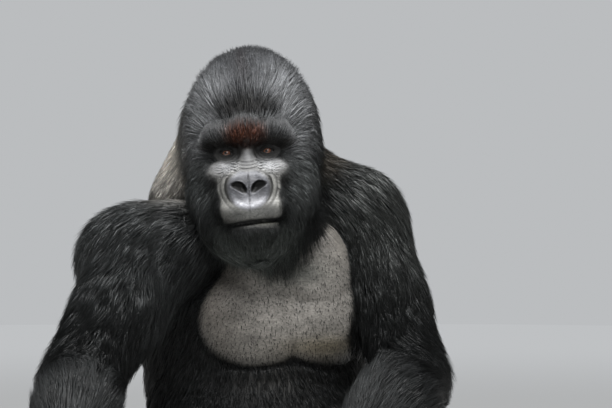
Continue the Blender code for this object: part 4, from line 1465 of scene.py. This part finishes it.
studio = {
    "floorRadius": 7.0,
    "floorTone": (0.38, 0.38, 0.37, 1.0),
    "fadeReach": (1.0, 6.0),  # from here to here the floor fades into the wall
    "airTone": (0.8, 0.82, 0.84, 1.0),
    "airStrength": 0.27,
    "wallStrength": 0.62,
    # name, place, target, size and power of each lamp
    "lamps": (
        ("sky light", (0.12, -0.7, 3.2), (0, -0.1, 0.4), 2.6, 400.0),
        ("front light", (0.5, -3.6, 1.9), (0, -0.1, 0.6), 1.4, 16.0),
    ),
    "cameraDistance": 6.8,
    "cameraRise": math.radians(2.0),
    "aim": Vector((0.082, 0.0, 0.699)),
    "frameWidth": 1.144,
    "sensorWidth": 36.0,
}


def makeFloor():
    shape = bmesh.new()
    bmesh.ops.create_circle(shape, cap_ends=True, segments=128, radius=studio["floorRadius"])
    floor = newObject("studioFloor", meshFrom(shape, "studioFloor"))
    floorMaterial = principled("studioFloor", 0.85, attribute=None)
    tree = floorMaterial.node_tree
    surface = tree.nodes["Principled BSDF"]
    away = addNode(tree, "VectorMath", Vector=addNode(tree, "TexCoord").outputs["Object"])
    away.operation = "LENGTH"
    near, far = studio["fadeReach"]
    fade = addNode(tree, "MapRange", Value=away.outputs["Value"], From_Min=near, From_Max=far)
    fade.interpolation_type = "SMOOTHSTEP"
    black = (0.0, 0.0, 0.0, 1.0)
    tint = addNode(tree, "MixRGB", Fac=fade.outputs["Result"], Color1=studio["floorTone"], Color2=black)
    tree.links.new(tint.outputs["Color"], surface.inputs["Base Color"])
    glow = addNode(tree, "MapRange", Value=fade.outputs["Result"], To_Max=studio["wallStrength"])
    surface.inputs["Emission Color"].default_value = studio["airTone"]
    tree.links.new(glow.outputs["Result"], surface.inputs["Emission Strength"])
    floor.data.materials.append(floorMaterial)
    return floor


def makeLamp(name, place, target, size, power):
    lamp = bpy.data.lights.new(name, "AREA")
    lamp.size = size
    lamp.energy = power
    held = newObject(name, lamp)
    held.location = place
    held.rotation_euler = (Vector(target) - Vector(place)).to_track_quat("-Z", "Y").to_euler()


def makeWorld():
    # the air lights the scene less than the wall that is seen
    world = bpy.data.worlds.new("studio air")
    world.use_nodes = True
    tree = world.node_tree
    shade = tree.nodes["Background"]
    shade.inputs["Color"].default_value = studio["airTone"]
    isSeen = addNode(tree, "LightPath").outputs["Is Camera Ray"]
    dim, bright = studio["airStrength"], studio["wallStrength"]
    seen = addNode(tree, "MapRange", Value=isSeen, To_Min=dim, To_Max=bright)
    tree.links.new(seen.outputs["Result"], shade.inputs["Strength"])
    bpy.context.scene.world = world


makeFloor()
for lamp in studio["lamps"]:
    makeLamp(*lamp)
makeWorld()
bpy.context.scene.view_settings.view_transform = "Standard"

lens = bpy.data.cameras.new("studio camera")
camera = newObject("studio camera", lens)
lens.sensor_width = studio["sensorWidth"]
lens.lens = studio["sensorWidth"] * studio["cameraDistance"] / studio["frameWidth"]
lens.clip_end = 60.0
rise = studio["cameraRise"]
toward = Vector((0.0, -math.cos(rise), math.sin(rise)))
camera.location = studio["aim"] + toward * studio["cameraDistance"]
camera.rotation_euler = (-toward).to_track_quat("-Z", "Y").to_euler()
bpy.context.scene.camera = camera
